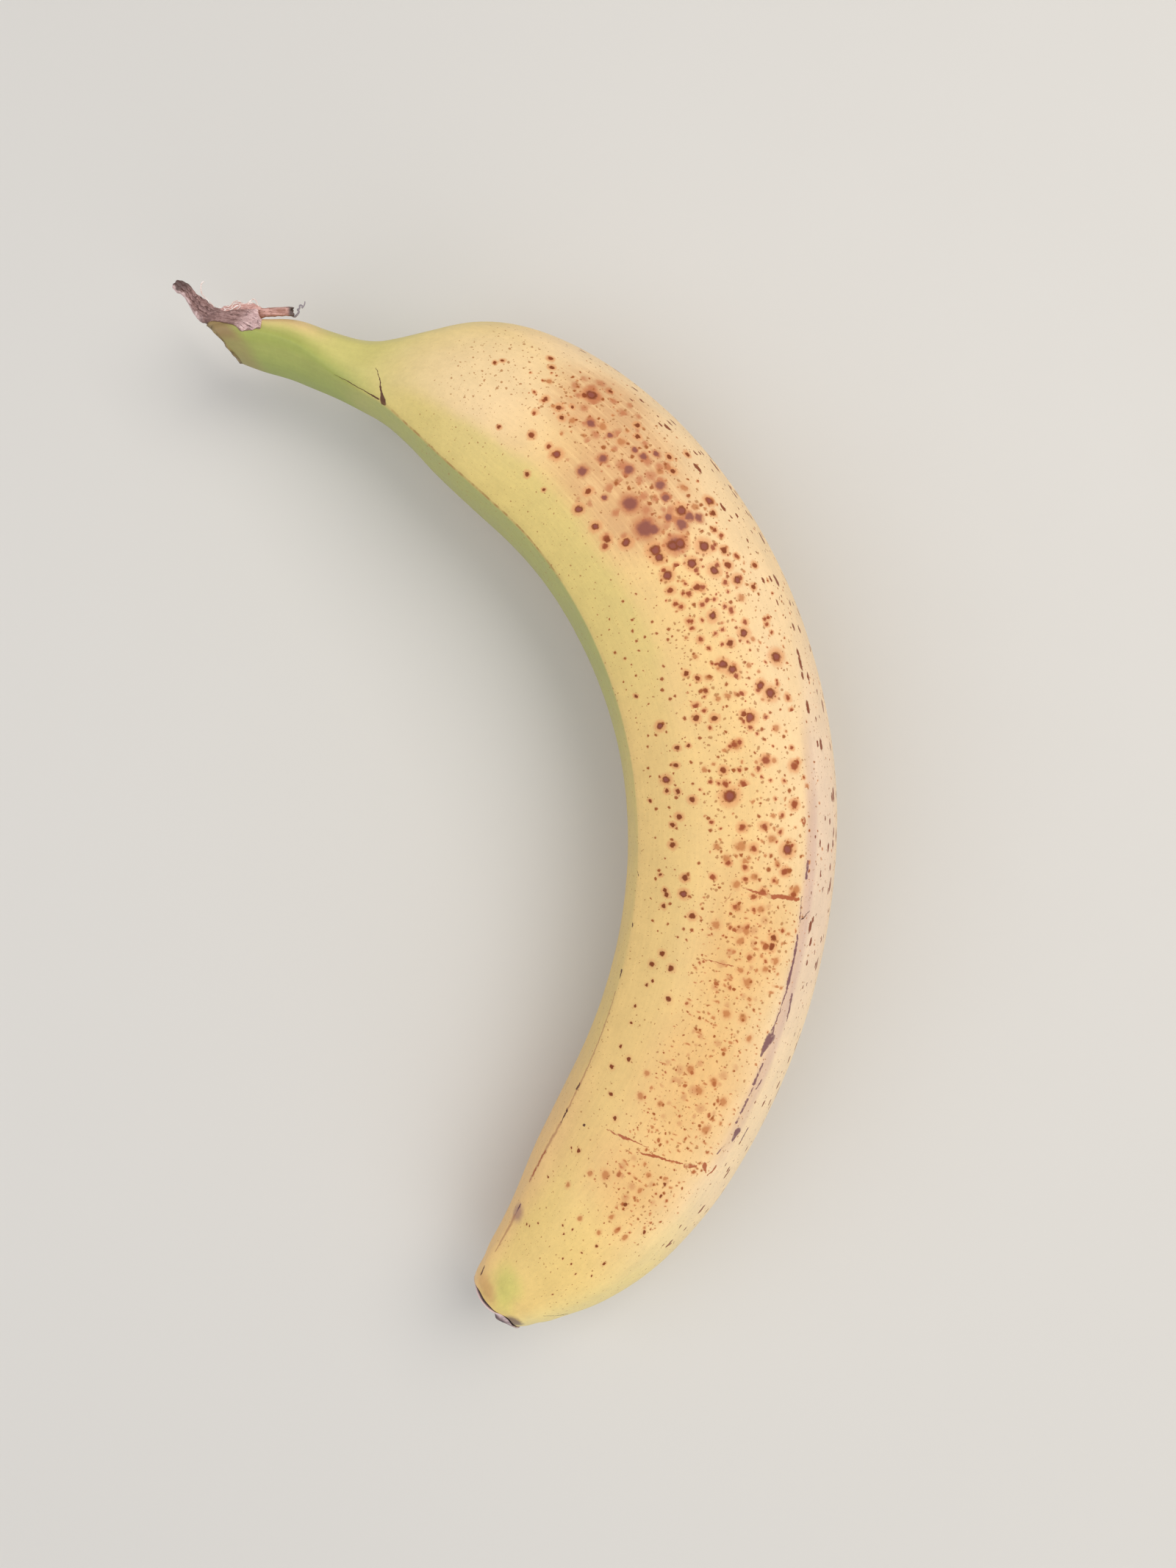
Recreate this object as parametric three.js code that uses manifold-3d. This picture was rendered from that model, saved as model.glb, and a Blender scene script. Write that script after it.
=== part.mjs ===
// A ripe banana lying on its side: one grown piece, from the torn crown at the end of
// its stem to the blossom scar at its tip. Millimetres, +Z up, lying on Z = 0.
import * as THREE from 'three';
import { LoftGeometry } from 'three/addons/geometries/LoftGeometry.js';
import { mergeVertices } from 'three/addons/utils/BufferGeometryUtils.js';
import Module from 'manifold-3d';

// The fruit bends round an upright line. A station is a slice through that line: how far
// round the bend it lies (degrees), how far out its middle is, its width and depth, the
// height of its middle, and how much its slice leans (degrees) from square to the bend.
const stations = [
  { turn: 87.5, out: 82.7, wide: 7.4, deep: 9.0, lift: 14.6, lean: 44 },
  { turn: 85.2, out: 83.0, wide: 8.8, deep: 9.8, lift: 14.8, lean: 22 },
  { turn: 80, out: 82.6, wide: 9.5, deep: 10.0, lift: 15.1, lean: 0 },
  { turn: 75, out: 81.5, wide: 9.6, deep: 10.2, lift: 15.5, lean: 0 },
  { turn: 70, out: 81.1, wide: 10.5, deep: 11.2, lift: 16.0, lean: 0 },
  { turn: 65, out: 82.7, wide: 16.0, deep: 16.2, lift: 16.6, lean: 0 },
  { turn: 60, out: 84.8, wide: 24.2, deep: 23.6, lift: 17.0, lean: 0 },
  { turn: 55, out: 85.8, wide: 29.3, deep: 29.0, lift: 17.2, lean: 0 },
  { turn: 48, out: 86.9, wide: 32.6, deep: 32.8, lift: 17.2, lean: 0 },
  { turn: 38, out: 88.3, wide: 34.4, deep: 34.6, lift: 17.4, lean: 0 },
  { turn: 24, out: 89.3, wide: 35.4, deep: 35.2, lift: 17.6, lean: 0 },
  { turn: 8, out: 90.0, wide: 35.5, deep: 35.2, lift: 17.6, lean: 0 },
  { turn: -8, out: 90.4, wide: 34.5, deep: 34.4, lift: 17.2, lean: 0 },
  { turn: -24, out: 91.2, wide: 33.2, deep: 33.0, lift: 16.5, lean: 0 },
  { turn: -36, out: 92.3, wide: 31.9, deep: 31.6, lift: 15.9, lean: 0 },
  { turn: -44, out: 93.4, wide: 28.8, deep: 28.4, lift: 15.3, lean: 0 },
  { turn: -50, out: 94.4, wide: 23.0, deep: 22.8, lift: 15.0, lean: 0 },
  { turn: -54.5, out: 95.1, wide: 16.8, deep: 16.4, lift: 14.8, lean: 6 },
  { turn: -58.3, out: 96.0, wide: 11.0, deep: 10.4, lift: 14.6, lean: 14 },
];

// The ridges of the peel: where each runs round the slice (degrees from the outer side,
// upwards) at some turns of the bend, from stem to tip, how far it stands out as a share of
// the slice's half width, and the steps round the slice from it to the next ridge.
const ridges = [
  {
    name: 'outer upper',
    run: [[87, 58], [65, 52], [50, 43], [35, 40], [20, 43], [5, 54], [-30, 55], [-58, 55]],
    rise: 0.06,
    steps: 7,
  },
  { name: 'top', run: [[87, 78], [72, 94], [60, 112], [45, 117], [-58, 117]], rise: 0.014, steps: 4 },
  {
    name: 'inner upper',
    run: [[87, 96], [78, 97], [72, 121], [65, 137], [60, 145], [40, 147], [10, 150], [-58, 150]],
    rise: 0.068,
    steps: 7,
  },
  { name: 'inner lower', run: [[87, 200], [65, 212], [-58, 212]], rise: 0.055, steps: 9 },
  { name: 'outer lower', run: [[87, 300], [65, 306], [-58, 310]], rise: 0.055, steps: 9 },
];
const ridgeSpread = 13; // degrees from a ridge's crest to where it has mostly died away
const stemEdge = { times: 1.4, from: 60, to: 72 }; // sharper ridges on the stem, past these turns
const ringsPerStation = 4;
const weldWithin = 1e-4; // points nearer than this are one point

const pressedFlat = 0.4; // how deep the belly is pressed flat where it lies
const scar = { lip: 1.3, sunk: 1.2, slope: 0.4 }; // its lip's width, its depth, its sides' slope

// The dried rag of crown that tore off with the stem, and a splinter curled off it:
// rings along each, by their middle, width and depth.
const crownRag = [
  { at: [11.4, 84.0, 16.6], wide: 3.4, deep: 5.0 },
  { at: [8.8, 84.6, 16.8], wide: 4.0, deep: 6.0 },
  { at: [5.9, 85.2, 16.8], wide: 3.8, deep: 5.2 },
  { at: [3.0, 85.8, 16.6], wide: 3.0, deep: 3.6 },
  { at: [0.9, 87.5, 16.4], wide: 2.5, deep: 2.4 },
  { at: [-0.9, 89.0, 16.4], wide: 2.1, deep: 2.0 },
  { at: [-2.2, 90.2, 16.6], wide: 2.6, deep: 2.0 },
  { at: [-3.2, 90.8, 16.8], wide: 2.3, deep: 1.6 },
];
const splinter = [
  { at: [9.2, 85.4, 17.4], wide: 1.3, deep: 1.8 },
  { at: [12.2, 86.0, 17.8], wide: 1.5, deep: 1.7 },
  { at: [15.4, 86.1, 18.0], wide: 1.4, deep: 1.6 },
];
const ragCorners = 10;

const peelMaterial = new THREE.MeshStandardMaterial({ color: 0xe8cb7a, roughness: 0.5, metalness: 0 });

const wasm = await Module();
wasm.setup();

const radians = THREE.MathUtils.degToRad;
const placeCurve = new THREE.CatmullRomCurve3(
  stations.map((station) => new THREE.Vector3(station.turn, station.out, station.lift)),
);
const sizeCurve = new THREE.CatmullRomCurve3(
  stations.map((station) => new THREE.Vector3(station.wide, station.deep, station.lean)),
);

function sliceAt(share) {
  const place = placeCurve.getPoint(share);
  const size = sizeCurve.getPoint(share);
  return { turn: place.x, out: place.y, lift: place.z, wide: size.x, deep: size.y, lean: size.z };
}

// Where a ridge runs at a turn of the bend: straight lines between the points of its run.
function ridgeAngle(ridge, turn) {
  const next = ridge.run.findIndex(([at]) => at <= turn);
  if (next === 0) return ridge.run[0][1];
  if (next < 0) return ridge.run.at(-1)[1];
  const [[fromTurn, fromAngle], [toTurn, toAngle]] = ridge.run.slice(next - 1, next + 1);
  return THREE.MathUtils.mapLinear(turn, fromTurn, toTurn, fromAngle, toAngle);
}

// The angles round a slice: one column of points on each ridge, and even steps between.
function anglesRound(turn) {
  const crests = ridges.map((ridge) => ridgeAngle(ridge, turn));
  return ridges.flatMap((ridge, i) => {
    const next = i + 1 < ridges.length ? crests[i + 1] : crests[0] + 360;
    const step = (next - crests[i]) / ridge.steps;
    return Array.from({ length: ridge.steps }, (_, k) => crests[i] + k * step);
  });
}

// How far out the peel is at an angle, against a plain oval.
function ridgeSwell(angle, turn) {
  const onStem = THREE.MathUtils.smoothstep(turn, stemEdge.from, stemEdge.to);
  const sharper = THREE.MathUtils.lerp(1, stemEdge.times, onStem);
  return ridges.reduce((swell, ridge) => {
    const gap = THREE.MathUtils.euclideanModulo(angle - ridgeAngle(ridge, turn) + 180, 360) - 180;
    return swell + sharper * ridge.rise * Math.exp(-((gap / ridgeSpread) ** 2));
  }, 1);
}

// One ring of the peel, drawn in by shrink and moved towards the stem by back.
function peelRing(share, shrink = 0, back = 0) {
  const slice = sliceAt(share);
  return anglesRound(slice.turn).map((angle) => {
    const swell = ridgeSwell(angle, slice.turn);
    const aside = (slice.wide / 2 - shrink) * swell * Math.cos(radians(angle));
    const up = (slice.deep / 2 - shrink) * swell * Math.sin(radians(angle));
    const ahead = (aside * Math.tan(radians(slice.lean)) + back) / slice.out;
    const turn = radians(slice.turn) + ahead;
    const out = slice.out + aside;
    return new THREE.Vector3(out * Math.cos(turn), out * Math.sin(turn), slice.lift + up);
  });
}

function peelGeometry() {
  const last = (stations.length - 1) * ringsPerStation;
  const rings = Array.from({ length: last + 1 }, (_, i) => peelRing(i / last));
  return new LoftGeometry(rings, { capStart: true, capEnd: true });
}

// What is cut out of the tip to leave the sunken scar with its lip.
function scarGeometry() {
  const rings = [
    peelRing(1, scar.lip + scar.slope, scar.sunk),
    peelRing(1, scar.lip - scar.slope, -scar.sunk),
  ];
  return new LoftGeometry(rings, { capStart: true, capEnd: true });
}

// A solid drawn through oval rings, each square to the way the rings run.
function ragGeometry(rings) {
  const route = new THREE.CatmullRomCurve3(rings.map((ring) => new THREE.Vector3(...ring.at)));
  const up = new THREE.Vector3(0, 0, 1);
  const sections = rings.map((ring, i) => {
    const along = route.getTangent(i / (rings.length - 1));
    const aside = new THREE.Vector3().crossVectors(along, up).normalize();
    return Array.from({ length: ragCorners }, (_, k) => {
      const angle = (-2 * Math.PI * k) / ragCorners;
      return new THREE.Vector3(...ring.at)
        .addScaledVector(aside, (ring.wide / 2) * Math.cos(angle))
        .addScaledVector(up, (ring.deep / 2) * Math.sin(angle));
    });
  });
  return new LoftGeometry(sections, { capStart: true, capEnd: true });
}

function solidOf(geometry) {
  const bare = new THREE.BufferGeometry();
  bare.setAttribute('position', geometry.attributes.position);
  bare.setIndex(geometry.index);
  const merged = mergeVertices(bare, weldWithin);
  return new wasm.Manifold(
    new wasm.Mesh({
      numProp: 3,
      vertProperties: new Float32Array(merged.attributes.position.array),
      triVerts: new Uint32Array(merged.index.array),
    }),
  );
}

function geometryOf(solid) {
  const { vertProperties, triVerts } = solid.getMesh();
  const geometry = new THREE.BufferGeometry();
  geometry.setAttribute('position', new THREE.BufferAttribute(vertProperties, 3));
  geometry.setIndex(new THREE.BufferAttribute(triVerts, 1));
  geometry.computeVertexNormals();
  return geometry;
}

// The slab that the belly is pressed flat against: its top is the surface it lies on.
function surfaceSlab() {
  const slab = { side: 400, thick: 40 };
  const geometry = new THREE.BoxGeometry(slab.side, slab.side, slab.thick);
  return geometry.translate(0, 0, pressedFlat - slab.thick / 2);
}

const banana = new THREE.Mesh(
  geometryOf(
    solidOf(peelGeometry())
      .add(solidOf(ragGeometry(crownRag)))
      .add(solidOf(ragGeometry(splinter)))
      .subtract(solidOf(scarGeometry()))
      .subtract(solidOf(surfaceSlab())),
  ),
  peelMaterial,
);
banana.name = 'banana';

// The origin is under the middle of the fruit's own box, on the surface it lies on.
const box = new THREE.Box3().setFromObject(banana);
const middle = box.getCenter(new THREE.Vector3());
banana.position.set(-middle.x, -middle.y, -box.min.z);

const group = new THREE.Group();
group.add(banana);

export default group;
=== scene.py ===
import math
import random

import bpy
import numpy as np
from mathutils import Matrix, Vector, noise


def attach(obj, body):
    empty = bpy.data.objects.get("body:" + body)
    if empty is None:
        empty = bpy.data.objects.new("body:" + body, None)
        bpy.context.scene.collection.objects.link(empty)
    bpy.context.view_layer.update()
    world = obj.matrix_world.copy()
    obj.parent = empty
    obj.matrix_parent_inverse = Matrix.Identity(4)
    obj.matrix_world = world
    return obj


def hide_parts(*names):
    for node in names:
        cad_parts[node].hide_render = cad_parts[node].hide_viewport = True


mm = 0.001

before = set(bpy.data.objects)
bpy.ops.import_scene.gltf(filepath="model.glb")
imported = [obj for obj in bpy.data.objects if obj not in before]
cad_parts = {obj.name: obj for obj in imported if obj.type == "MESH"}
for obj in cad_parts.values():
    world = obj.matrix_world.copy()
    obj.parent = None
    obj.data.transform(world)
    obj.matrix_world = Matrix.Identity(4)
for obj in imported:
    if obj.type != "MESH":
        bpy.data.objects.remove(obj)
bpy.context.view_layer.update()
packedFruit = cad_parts["banana"]
print("frame loaded")


# the camera looks straight down, as if held over the fruit
view = {"over": (14.0, 3.5), "height": 230.8, "lens": 29.13, "sensor": 36.0}


def placeCamera():
    camera = bpy.data.objects.new("camera", bpy.data.cameras.new("camera"))
    bpy.context.scene.collection.objects.link(camera)
    camera.location = Vector((*view["over"], view["height"])) * mm
    camera.data.lens = view["lens"]
    camera.data.sensor_width = view["sensor"]
    camera.data.clip_start = 0.01
    bpy.context.scene.camera = camera


placeCamera()
print("camera placed")


# the fruit bends round an upright line: turn is degrees round it, out is how far from it
bend = {"x": -51.96, "y": -3.10}  # where that line stands
# the fruit's middle line, from the torn stem to the tip: turn, out, height
middleLine = [
    (87.5, 82.7, 14.2), (85.2, 83.0, 14.4), (80, 82.6, 14.7), (75, 81.5, 15.1),
    (70, 81.1, 15.6), (65, 82.7, 16.2), (60, 84.8, 16.6), (55, 85.8, 16.8),
    (48, 86.9, 16.8), (38, 88.3, 17.0), (24, 89.3, 17.2), (8, 90.0, 17.2),
    (-8, 90.4, 16.8), (-24, 91.2, 16.1), (-36, 92.3, 15.5), (-44, 93.4, 14.9),
    (-50, 94.4, 14.6), (-54.5, 95.1, 14.4), (-58.3, 96.0, 14.2),
]
# how far a slice leans from square to the bend
slant = [(87.5, 44), (85.2, 22), (80, 0), (-50, 0), (-54.5, 6), (-58.3, 14)]
# where each ridge runs round the fruit: turn, degrees up from the outer side
ridgeRuns = {
    "outerUpper": [(87, 58), (65, 52), (50, 43), (35, 40), (20, 43), (5, 54), (-30, 55), (-58, 55)],
    "top": [(87, 78), (72, 94), (60, 112), (45, 117), (-58, 117)],
    "innerUpper": [
        (87, 96), (78, 97), (72, 121), (65, 137), (60, 145), (40, 147), (10, 150), (-58, 150),
    ],
    "innerLower": [(87, 200), (65, 212), (-58, 212)],
    "outerLower": [(87, 300), (65, 306), (-58, 310)],
}
girth = 17.0  # the radius that distances round the fruit are measured at
alongPerTurn = math.radians(90)  # millimetres along the fruit for each degree of turn


def follow(run, at):
    # a smooth line through a run of points, by their first number, that never overshoots
    run = np.array(sorted(run), float)
    x, y = run[:, 0], run[:, 1:]
    rise = np.diff(y, axis=0) / np.diff(x)[:, None]
    product = rise[:-1] * rise[1:]
    slope = np.concatenate([rise[:1], np.zeros_like(product), rise[-1:]])
    np.divide(2 * product, rise[:-1] + rise[1:], out=slope[1:-1], where=product > 0)
    at = np.clip(np.atleast_1d(at), x[0], x[-1])
    i = np.clip(np.searchsorted(x, at) - 1, 0, len(x) - 2)
    gap = (x[i + 1] - x[i])[:, None]
    t = (at - x[i])[:, None] / gap
    return (
        y[i] * (1 + 2 * t) * (1 - t) ** 2 + y[i + 1] * t * t * (3 - 2 * t)
        + gap * (slope[i] * t * (1 - t) ** 2 + slope[i + 1] * t * t * (t - 1))
    )


def straighten(points):
    # turn, and the place in the fruit as if it were straight: along, aside and up
    x, y, height = points.T / mm
    x, y = x - bend["x"], y - bend["y"]
    turn = np.degrees(np.arctan2(y, x))
    out, middleHeight = follow(middleLine, turn).T
    along = (middleLine[0][0] - turn) * alongPerTurn
    return turn, np.stack([along, np.hypot(x, y) - out, height - middleHeight], 1)


def bent(turn, out, height):
    # the place of a point given by turn, out and height
    angle = math.radians(turn)
    x, y = bend["x"] + out * math.cos(angle), bend["y"] + out * math.sin(angle)
    return Vector((x, y, height)) * mm


def unit(ways):
    return ways / (np.linalg.norm(ways, axis=-1, keepdims=True) + 1e-9)


def readAll(items, field, wide=3):
    values = np.empty(len(items) * wide)
    items.foreach_get(field, values)
    return values.reshape(-1, wide)


def coordinates(piece):
    return readAll(piece.data.vertices, "co")


def normalsOf(piece):
    return readAll(piece.data.vertex_normals, "vector")


def moveTo(piece, co):
    piece.data.vertices.foreach_set("co", np.ascontiguousarray(co, np.float32).ravel())
    piece.data.update()


def keepValues(piece, name, values):
    # a value or a vector at each point, for the material to read
    kind, field = ("FLOAT", "value") if values.ndim == 1 else ("FLOAT_VECTOR", "vector")
    attributes = piece.data.attributes
    held = attributes.get(name) or attributes.new(name, kind, "POINT")
    held.data.foreach_set(field, values.astype(np.float32).ravel())


def heldValues(piece, name):
    held = piece.data.attributes[name]
    if held.data_type == "FLOAT":
        return readAll(held.data, "value", 1)[:, 0]
    return readAll(held.data, "vector")


def rough(points, height, size, seed):
    # smooth noise at each point, up to this height
    start = Vector((seed, 0, 0))
    return height * np.array([noise.noise(Vector(point) / size + start) for point in points])


def startAlone(*pieces):
    # leaves only these pieces selected
    if bpy.context.object and bpy.context.object.mode != "OBJECT":
        leaveEdit()
    bpy.ops.object.select_all(action="DESELECT")
    for piece in reversed(pieces):  # the first one ends active
        piece.select_set(True)
        bpy.context.view_layer.objects.active = piece


def editAll():
    bpy.ops.object.mode_set(mode="EDIT")
    bpy.ops.mesh.select_all(action="SELECT")


def leaveEdit():
    bpy.ops.object.mode_set(mode="OBJECT")


def extrudeBy(step):
    bpy.ops.mesh.extrude_region_move(TRANSFORM_OT_translate={"value": step})


peel = {
    "columns": [8, 5, 8, 10, 9],  # columns of points from each ridge to the next
    "firstColumn": 4,  # the column that the topmost point of a ring belongs to
    "ringStep": 1.6,  # degrees of turn between rings
    "endStep": 0.6,  # and near the two ends
    "endLength": 3.0,
    "feltFrom": 79.5,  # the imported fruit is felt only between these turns
    "feltTo": -57.3,
    "nudges": (0, 0.4, -0.4),  # degrees to feel again at, where a ray slips between two faces
    "easing": 2,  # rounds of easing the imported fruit's facets
    "levels": 2,
    "crease": {
        "outerUpper": 0.16, "top": 0.05, "innerUpper": 0.30, "innerLower": 0.25, "outerLower": 0.20,
    },
    "creaseWidth": 1.7,
    # each kind of roughness has a height, a size and a seed
    "waves": (0.16, 16.0, 0.5),
    "wavesStretch": (0.5, 1, 1),
    "dimples": (0.02, 2.6, 7.0),
    "teeth": (0.5, 0.9, 3.0),
    "teethFrom": 80,  # turn
    "teethLength": 1.5,  # how far from the end they reach
    "lobes": (0.3, 2.6, 11.0),
    "raggedOutwards": 0.5,  # how much of the teeth and lobes goes outwards, against along
}
# how the ends narrow: turn, outer side, inner side, upwards
taper = [
    (87.5, 0.42, 0.72, 0.88), (85.2, 0.5, 0.88, 0.97), (82.6, 0.59, 0.98, 1), (80.5, 0.80, 1, 1),
    (78.6, 1, 1, 1), (-57.3, 1, 1, 1), (-58.3, 0.885, 0.885, 0.87),
]
# how far the peel's edge stands back from the tip's end, by degrees round from the outer side
edgeBack = [
    (0, 0), (35, 0.45), (50, 0.8), (65, 1.1), (80, 0.75), (95, 0.35), (121, 0.4), (143, 0.7),
    (165, 0.5), (180, 0.25), (270, 0.1), (360, 0),
]
edgeBackLength = 2.6
edgeBackWithin = 9  # only this near the middle of the tip's end
# rings past the two ends: how far past, how far drawn in from this radius, and how dry
endRadius = 5.2
tornRings = [
    (0.35, 0.05, 0.9), (0.55, 0.35, 1.0), (0.2, 0.8, 1.0), (-0.7, 1.2, 1.0), (-1.1, 2.0, 1.0),
    (-0.8, 3.2, 1.0),
]
scarRings = [
    (0.12, 0.06, 0.2), (0.28, 0.3, 0.8), (0.2, 0.7, 1.0), (-0.3, 1.2, 1.0), (-0.8, 2.0, 1.0),
    (-0.9, 3.0, 1.0), (-0.5, 4.0, 1.0), (0.1, 4.7, 1.0),
]


def ringTurns():
    first, last = middleLine[0][0], middleLine[-1][0]
    near = peel["endLength"]
    count = round((first - last - 2 * near) / peel["ringStep"]) + 1
    steps = round(near / peel["endStep"])
    return np.concatenate([
        np.linspace(first, first - near, steps, endpoint=False),
        np.linspace(first - near, last + near, count),
        np.linspace(last + near, last, steps + 1)[1:],
    ])


def columnAngles(turn):
    # degrees round a slice, with a column of points on each ridge
    crests = [follow(run, turn)[0, 0] for run in ridgeRuns.values()]
    crests.append(crests[0] + 360)
    return np.concatenate([
        np.linspace(start, end, count, endpoint=False)
        for start, end, count in zip(crests, crests[1:], peel["columns"])
    ])


def sliceFrame(turn):
    # a slice's middle, its ways outwards and upwards, slanted as it leans, and the way
    # square to it, towards the stem
    out, height = follow(middleLine, turn)[0]
    lean = math.tan(math.radians(follow(slant, turn)[0, 0]))
    angle = math.radians(turn)
    outward = Vector((math.cos(angle), math.sin(angle), 0))
    outward += Vector((-math.sin(angle), math.cos(angle), 0)) * lean
    up = Vector((0, 0, 1))
    return bent(turn, out, height), outward, up, up.cross(outward).normalized()


def sliceArrays(turn):
    return [np.array(way) for way in sliceFrame(turn)]


def feelSlice(turn, angles):
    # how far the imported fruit's skin is from its middle, at these angles round a slice
    centre, outward, up, _ = sliceFrame(turn)
    reach = []
    for angle in angles:
        for nudge in peel["nudges"]:
            around = math.radians(angle + nudge)
            way = outward * math.cos(around) + up * math.sin(around)
            found, place, _, _ = packedFruit.ray_cast(centre, way)
            if found:
                break
        reach.append((place - centre).length / way.length)
    return reach


def growPeel():
    # a ring of points at the torn stem, drawn out round the bend to the tip
    turns = ringTurns()
    centre = sliceFrame(turns[0])[0]
    startAlone()
    bpy.ops.mesh.primitive_circle_add(
        vertices=sum(peel["columns"]), radius=girth * mm, location=centre,
        rotation=(math.pi / 2, 0, math.radians(turns[0])),
    )
    bpy.ops.object.transform_apply(location=True, rotation=True, scale=True)
    piece = bpy.context.object
    piece.name = "banana_peel"
    editAll()
    for before, turn in zip(turns, turns[1:]):
        lastCentre, centre = centre, sliceFrame(turn)[0]
        extrudeBy(centre - lastCentre)
        bpy.ops.transform.rotate(
            value=math.radians(before - turn), orient_axis="Z", center_override=centre
        )
    leaveEdit()
    pressOnFruit(piece, turns)
    return piece, turns


def pressOnFruit(piece, turns):
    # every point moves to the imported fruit's skin, with its facets eased
    angles = np.array([columnAngles(turn) for turn in turns])
    felt = np.clip(turns, peel["feltTo"], peel["feltFrom"])
    reach = np.array([feelSlice(turn, row) for turn, row in zip(felt, angles)])
    for _ in range(peel["easing"]):
        reach = (np.roll(reach, 1, 1) + 2 * reach + np.roll(reach, -1, 1)) / 4
        reach[1:-1] = (reach[:-2] + 2 * reach[1:-1] + reach[2:]) / 4
    narrowed = follow(taper, turns)
    aside = reach * np.cos(np.radians(angles))
    aside *= np.where(aside > 0, narrowed[:, :1], narrowed[:, 1:2])
    height = reach * np.sin(np.radians(angles)) * narrowed[:, 2:]
    rings = []
    for turn, a, h in zip(turns, aside, height):
        centre, outward, up, _ = sliceArrays(turn)
        rings.append(centre + np.outer(a, outward) + np.outer(h, up))
    columns = sum(peel["columns"])
    order = (np.arange(columns) + peel["firstColumn"]) % columns
    moveTo(piece, np.concatenate([ring[order] for ring in rings]))


def drawInEnd(piece, ring, turn, pastRings, away):
    # rings past an end: its rim, rolled over and drawn in, and the floor inside it; away is
    # 1 at the stem and -1 at the tip
    columns = sum(peel["columns"])
    startAlone(piece)
    for elements in (piece.data.vertices, piece.data.edges, piece.data.polygons):
        elements.foreach_set("select", [False] * len(elements))
    for index in range(ring * columns, ring * columns + columns):
        piece.data.vertices[index].select = True
    count = len(piece.data.vertices)
    centre, _, _, towardsStem = sliceFrame(turn)
    ahead = towardsStem * away * mm
    bpy.ops.object.mode_set(mode="EDIT")
    bpy.ops.mesh.select_mode(type="VERT")
    lastPast = lastInset = 0
    for past, inset, _ in pastRings:
        extrudeBy(ahead * (past - lastPast))
        size = (endRadius - inset) / (endRadius - lastInset)
        bpy.ops.transform.resize(value=(size,) * 3, center_override=centre + ahead * past)
        lastPast, lastInset = past, inset
    leaveEdit()
    dry = np.zeros(len(piece.data.vertices))
    if "dry" in piece.data.attributes:
        dry = heldValues(piece, "dry")
    dry[count:] = np.repeat([dryness for _, _, dryness in pastRings], columns)
    keepValues(piece, "dry", dry)
    bpy.ops.object.mode_set(mode="EDIT")
    bpy.ops.mesh.merge(type="CENTER")
    leaveEdit()


def roughenEnds(piece, turns):
    # the torn edge has teeth, and the lip of the blossom scar has lobes
    co = coordinates(piece)
    dry = heldValues(piece, "dry")
    turn, straight = straighten(co)
    nearEdge = np.clip(1 - straight[:, 0] / peel["teethLength"], 0, 1) * (turn > peel["teethFrom"])
    teeth = rough(co / mm, *peel["teeth"]) * np.maximum(dry, nearEdge)
    lobes = rough(co / mm, *peel["lobes"]) * dry
    for atEnd, amount, endTurn in ((turn > 0, teeth, turns[0]), (turn < 0, lobes, turns[-1])):
        centre, _, _, towardsStem = sliceArrays(endTurn)
        way = towardsStem + peel["raggedOutwards"] * unit(co - centre)
        co[atEnd] += (way * amount[:, None] * mm)[atEnd]
    moveTo(piece, co)


def standBack(piece, turns):
    # the peel's edge at the tip isn't even: parts of it stand back from the end
    co = coordinates(piece)
    centre, outward, up, towardsStem = sliceArrays(turns[-1])
    away = (co - centre) / mm
    angle = np.degrees(np.arctan2(away @ up, away @ unit(outward))) % 360
    near = np.clip(1 - away @ towardsStem / edgeBackLength, 0, 1)
    near *= np.linalg.norm(away, axis=1) < edgeBackWithin
    near = near * near * (3 - 2 * near)
    moveTo(piece, co + np.outer(follow(edgeBack, angle)[:, 0] * near * mm, towardsStem))


def subdivide(piece, levels):
    startAlone(piece)
    editAll()
    bpy.ops.mesh.normals_make_consistent(inside=False)
    leaveEdit()
    smooth = piece.modifiers.new("smooth", "SUBSURF")
    smooth.levels = smooth.render_levels = levels
    bpy.ops.object.modifier_apply(modifier="smooth")
    bpy.ops.object.shade_smooth()


def shapeSkin(piece):
    # ridges, slow waves and fine dimples, and what the material needs to know
    co = coordinates(piece)
    turn, straight = straighten(co)
    _, aside, up = straight.T
    angle = np.degrees(np.arctan2(up, aside))
    lift = np.zeros(len(co))
    for name, run in ridgeRuns.items():
        gap = (angle - follow(run, turn)[:, 0] + 180) % 360 - 180
        gap = np.radians(gap) * np.hypot(aside, up)
        lift += peel["crease"][name] * np.exp(-((gap / peel["creaseWidth"]) ** 2))
        keepValues(piece, name, gap)
    lift += rough(straight * peel["wavesStretch"], *peel["waves"])
    lift += rough(straight, *peel["dimples"])
    lift *= 1 - heldValues(piece, "dry")
    co += normalsOf(piece) * lift[:, None] * mm
    co[:, 2] = np.maximum(co[:, 2], 0)
    moveTo(piece, co)
    keepValues(piece, "straight", straight)


peelPiece, turns = growPeel()
drawInEnd(peelPiece, 0, turns[0], tornRings, 1)
drawInEnd(peelPiece, len(turns) - 1, turns[-1], scarRings, -1)
roughenEnds(peelPiece, turns)
standBack(peelPiece, turns)
subdivide(peelPiece, peel["levels"])
shapeSkin(peelPiece)
print("peel grown", len(peelPiece.data.polygons), "faces")


def drawnOut(name, rings):
    # a circle of points drawn out ring by ring, each ring then moved into place
    rings = np.array(rings)
    startAlone()
    bpy.ops.mesh.primitive_circle_add(vertices=len(rings[0]), radius=mm)
    piece = bpy.context.object
    piece.name = name
    editAll()
    for _ in rings[1:]:
        extrudeBy((0, 0, mm))
    leaveEdit()
    moveTo(piece, rings.reshape(-1, 3) * mm)
    return piece


def closeEnds(piece):
    startAlone(piece)
    editAll()
    bpy.ops.mesh.fill_holes(sides=0)
    leaveEdit()


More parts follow.
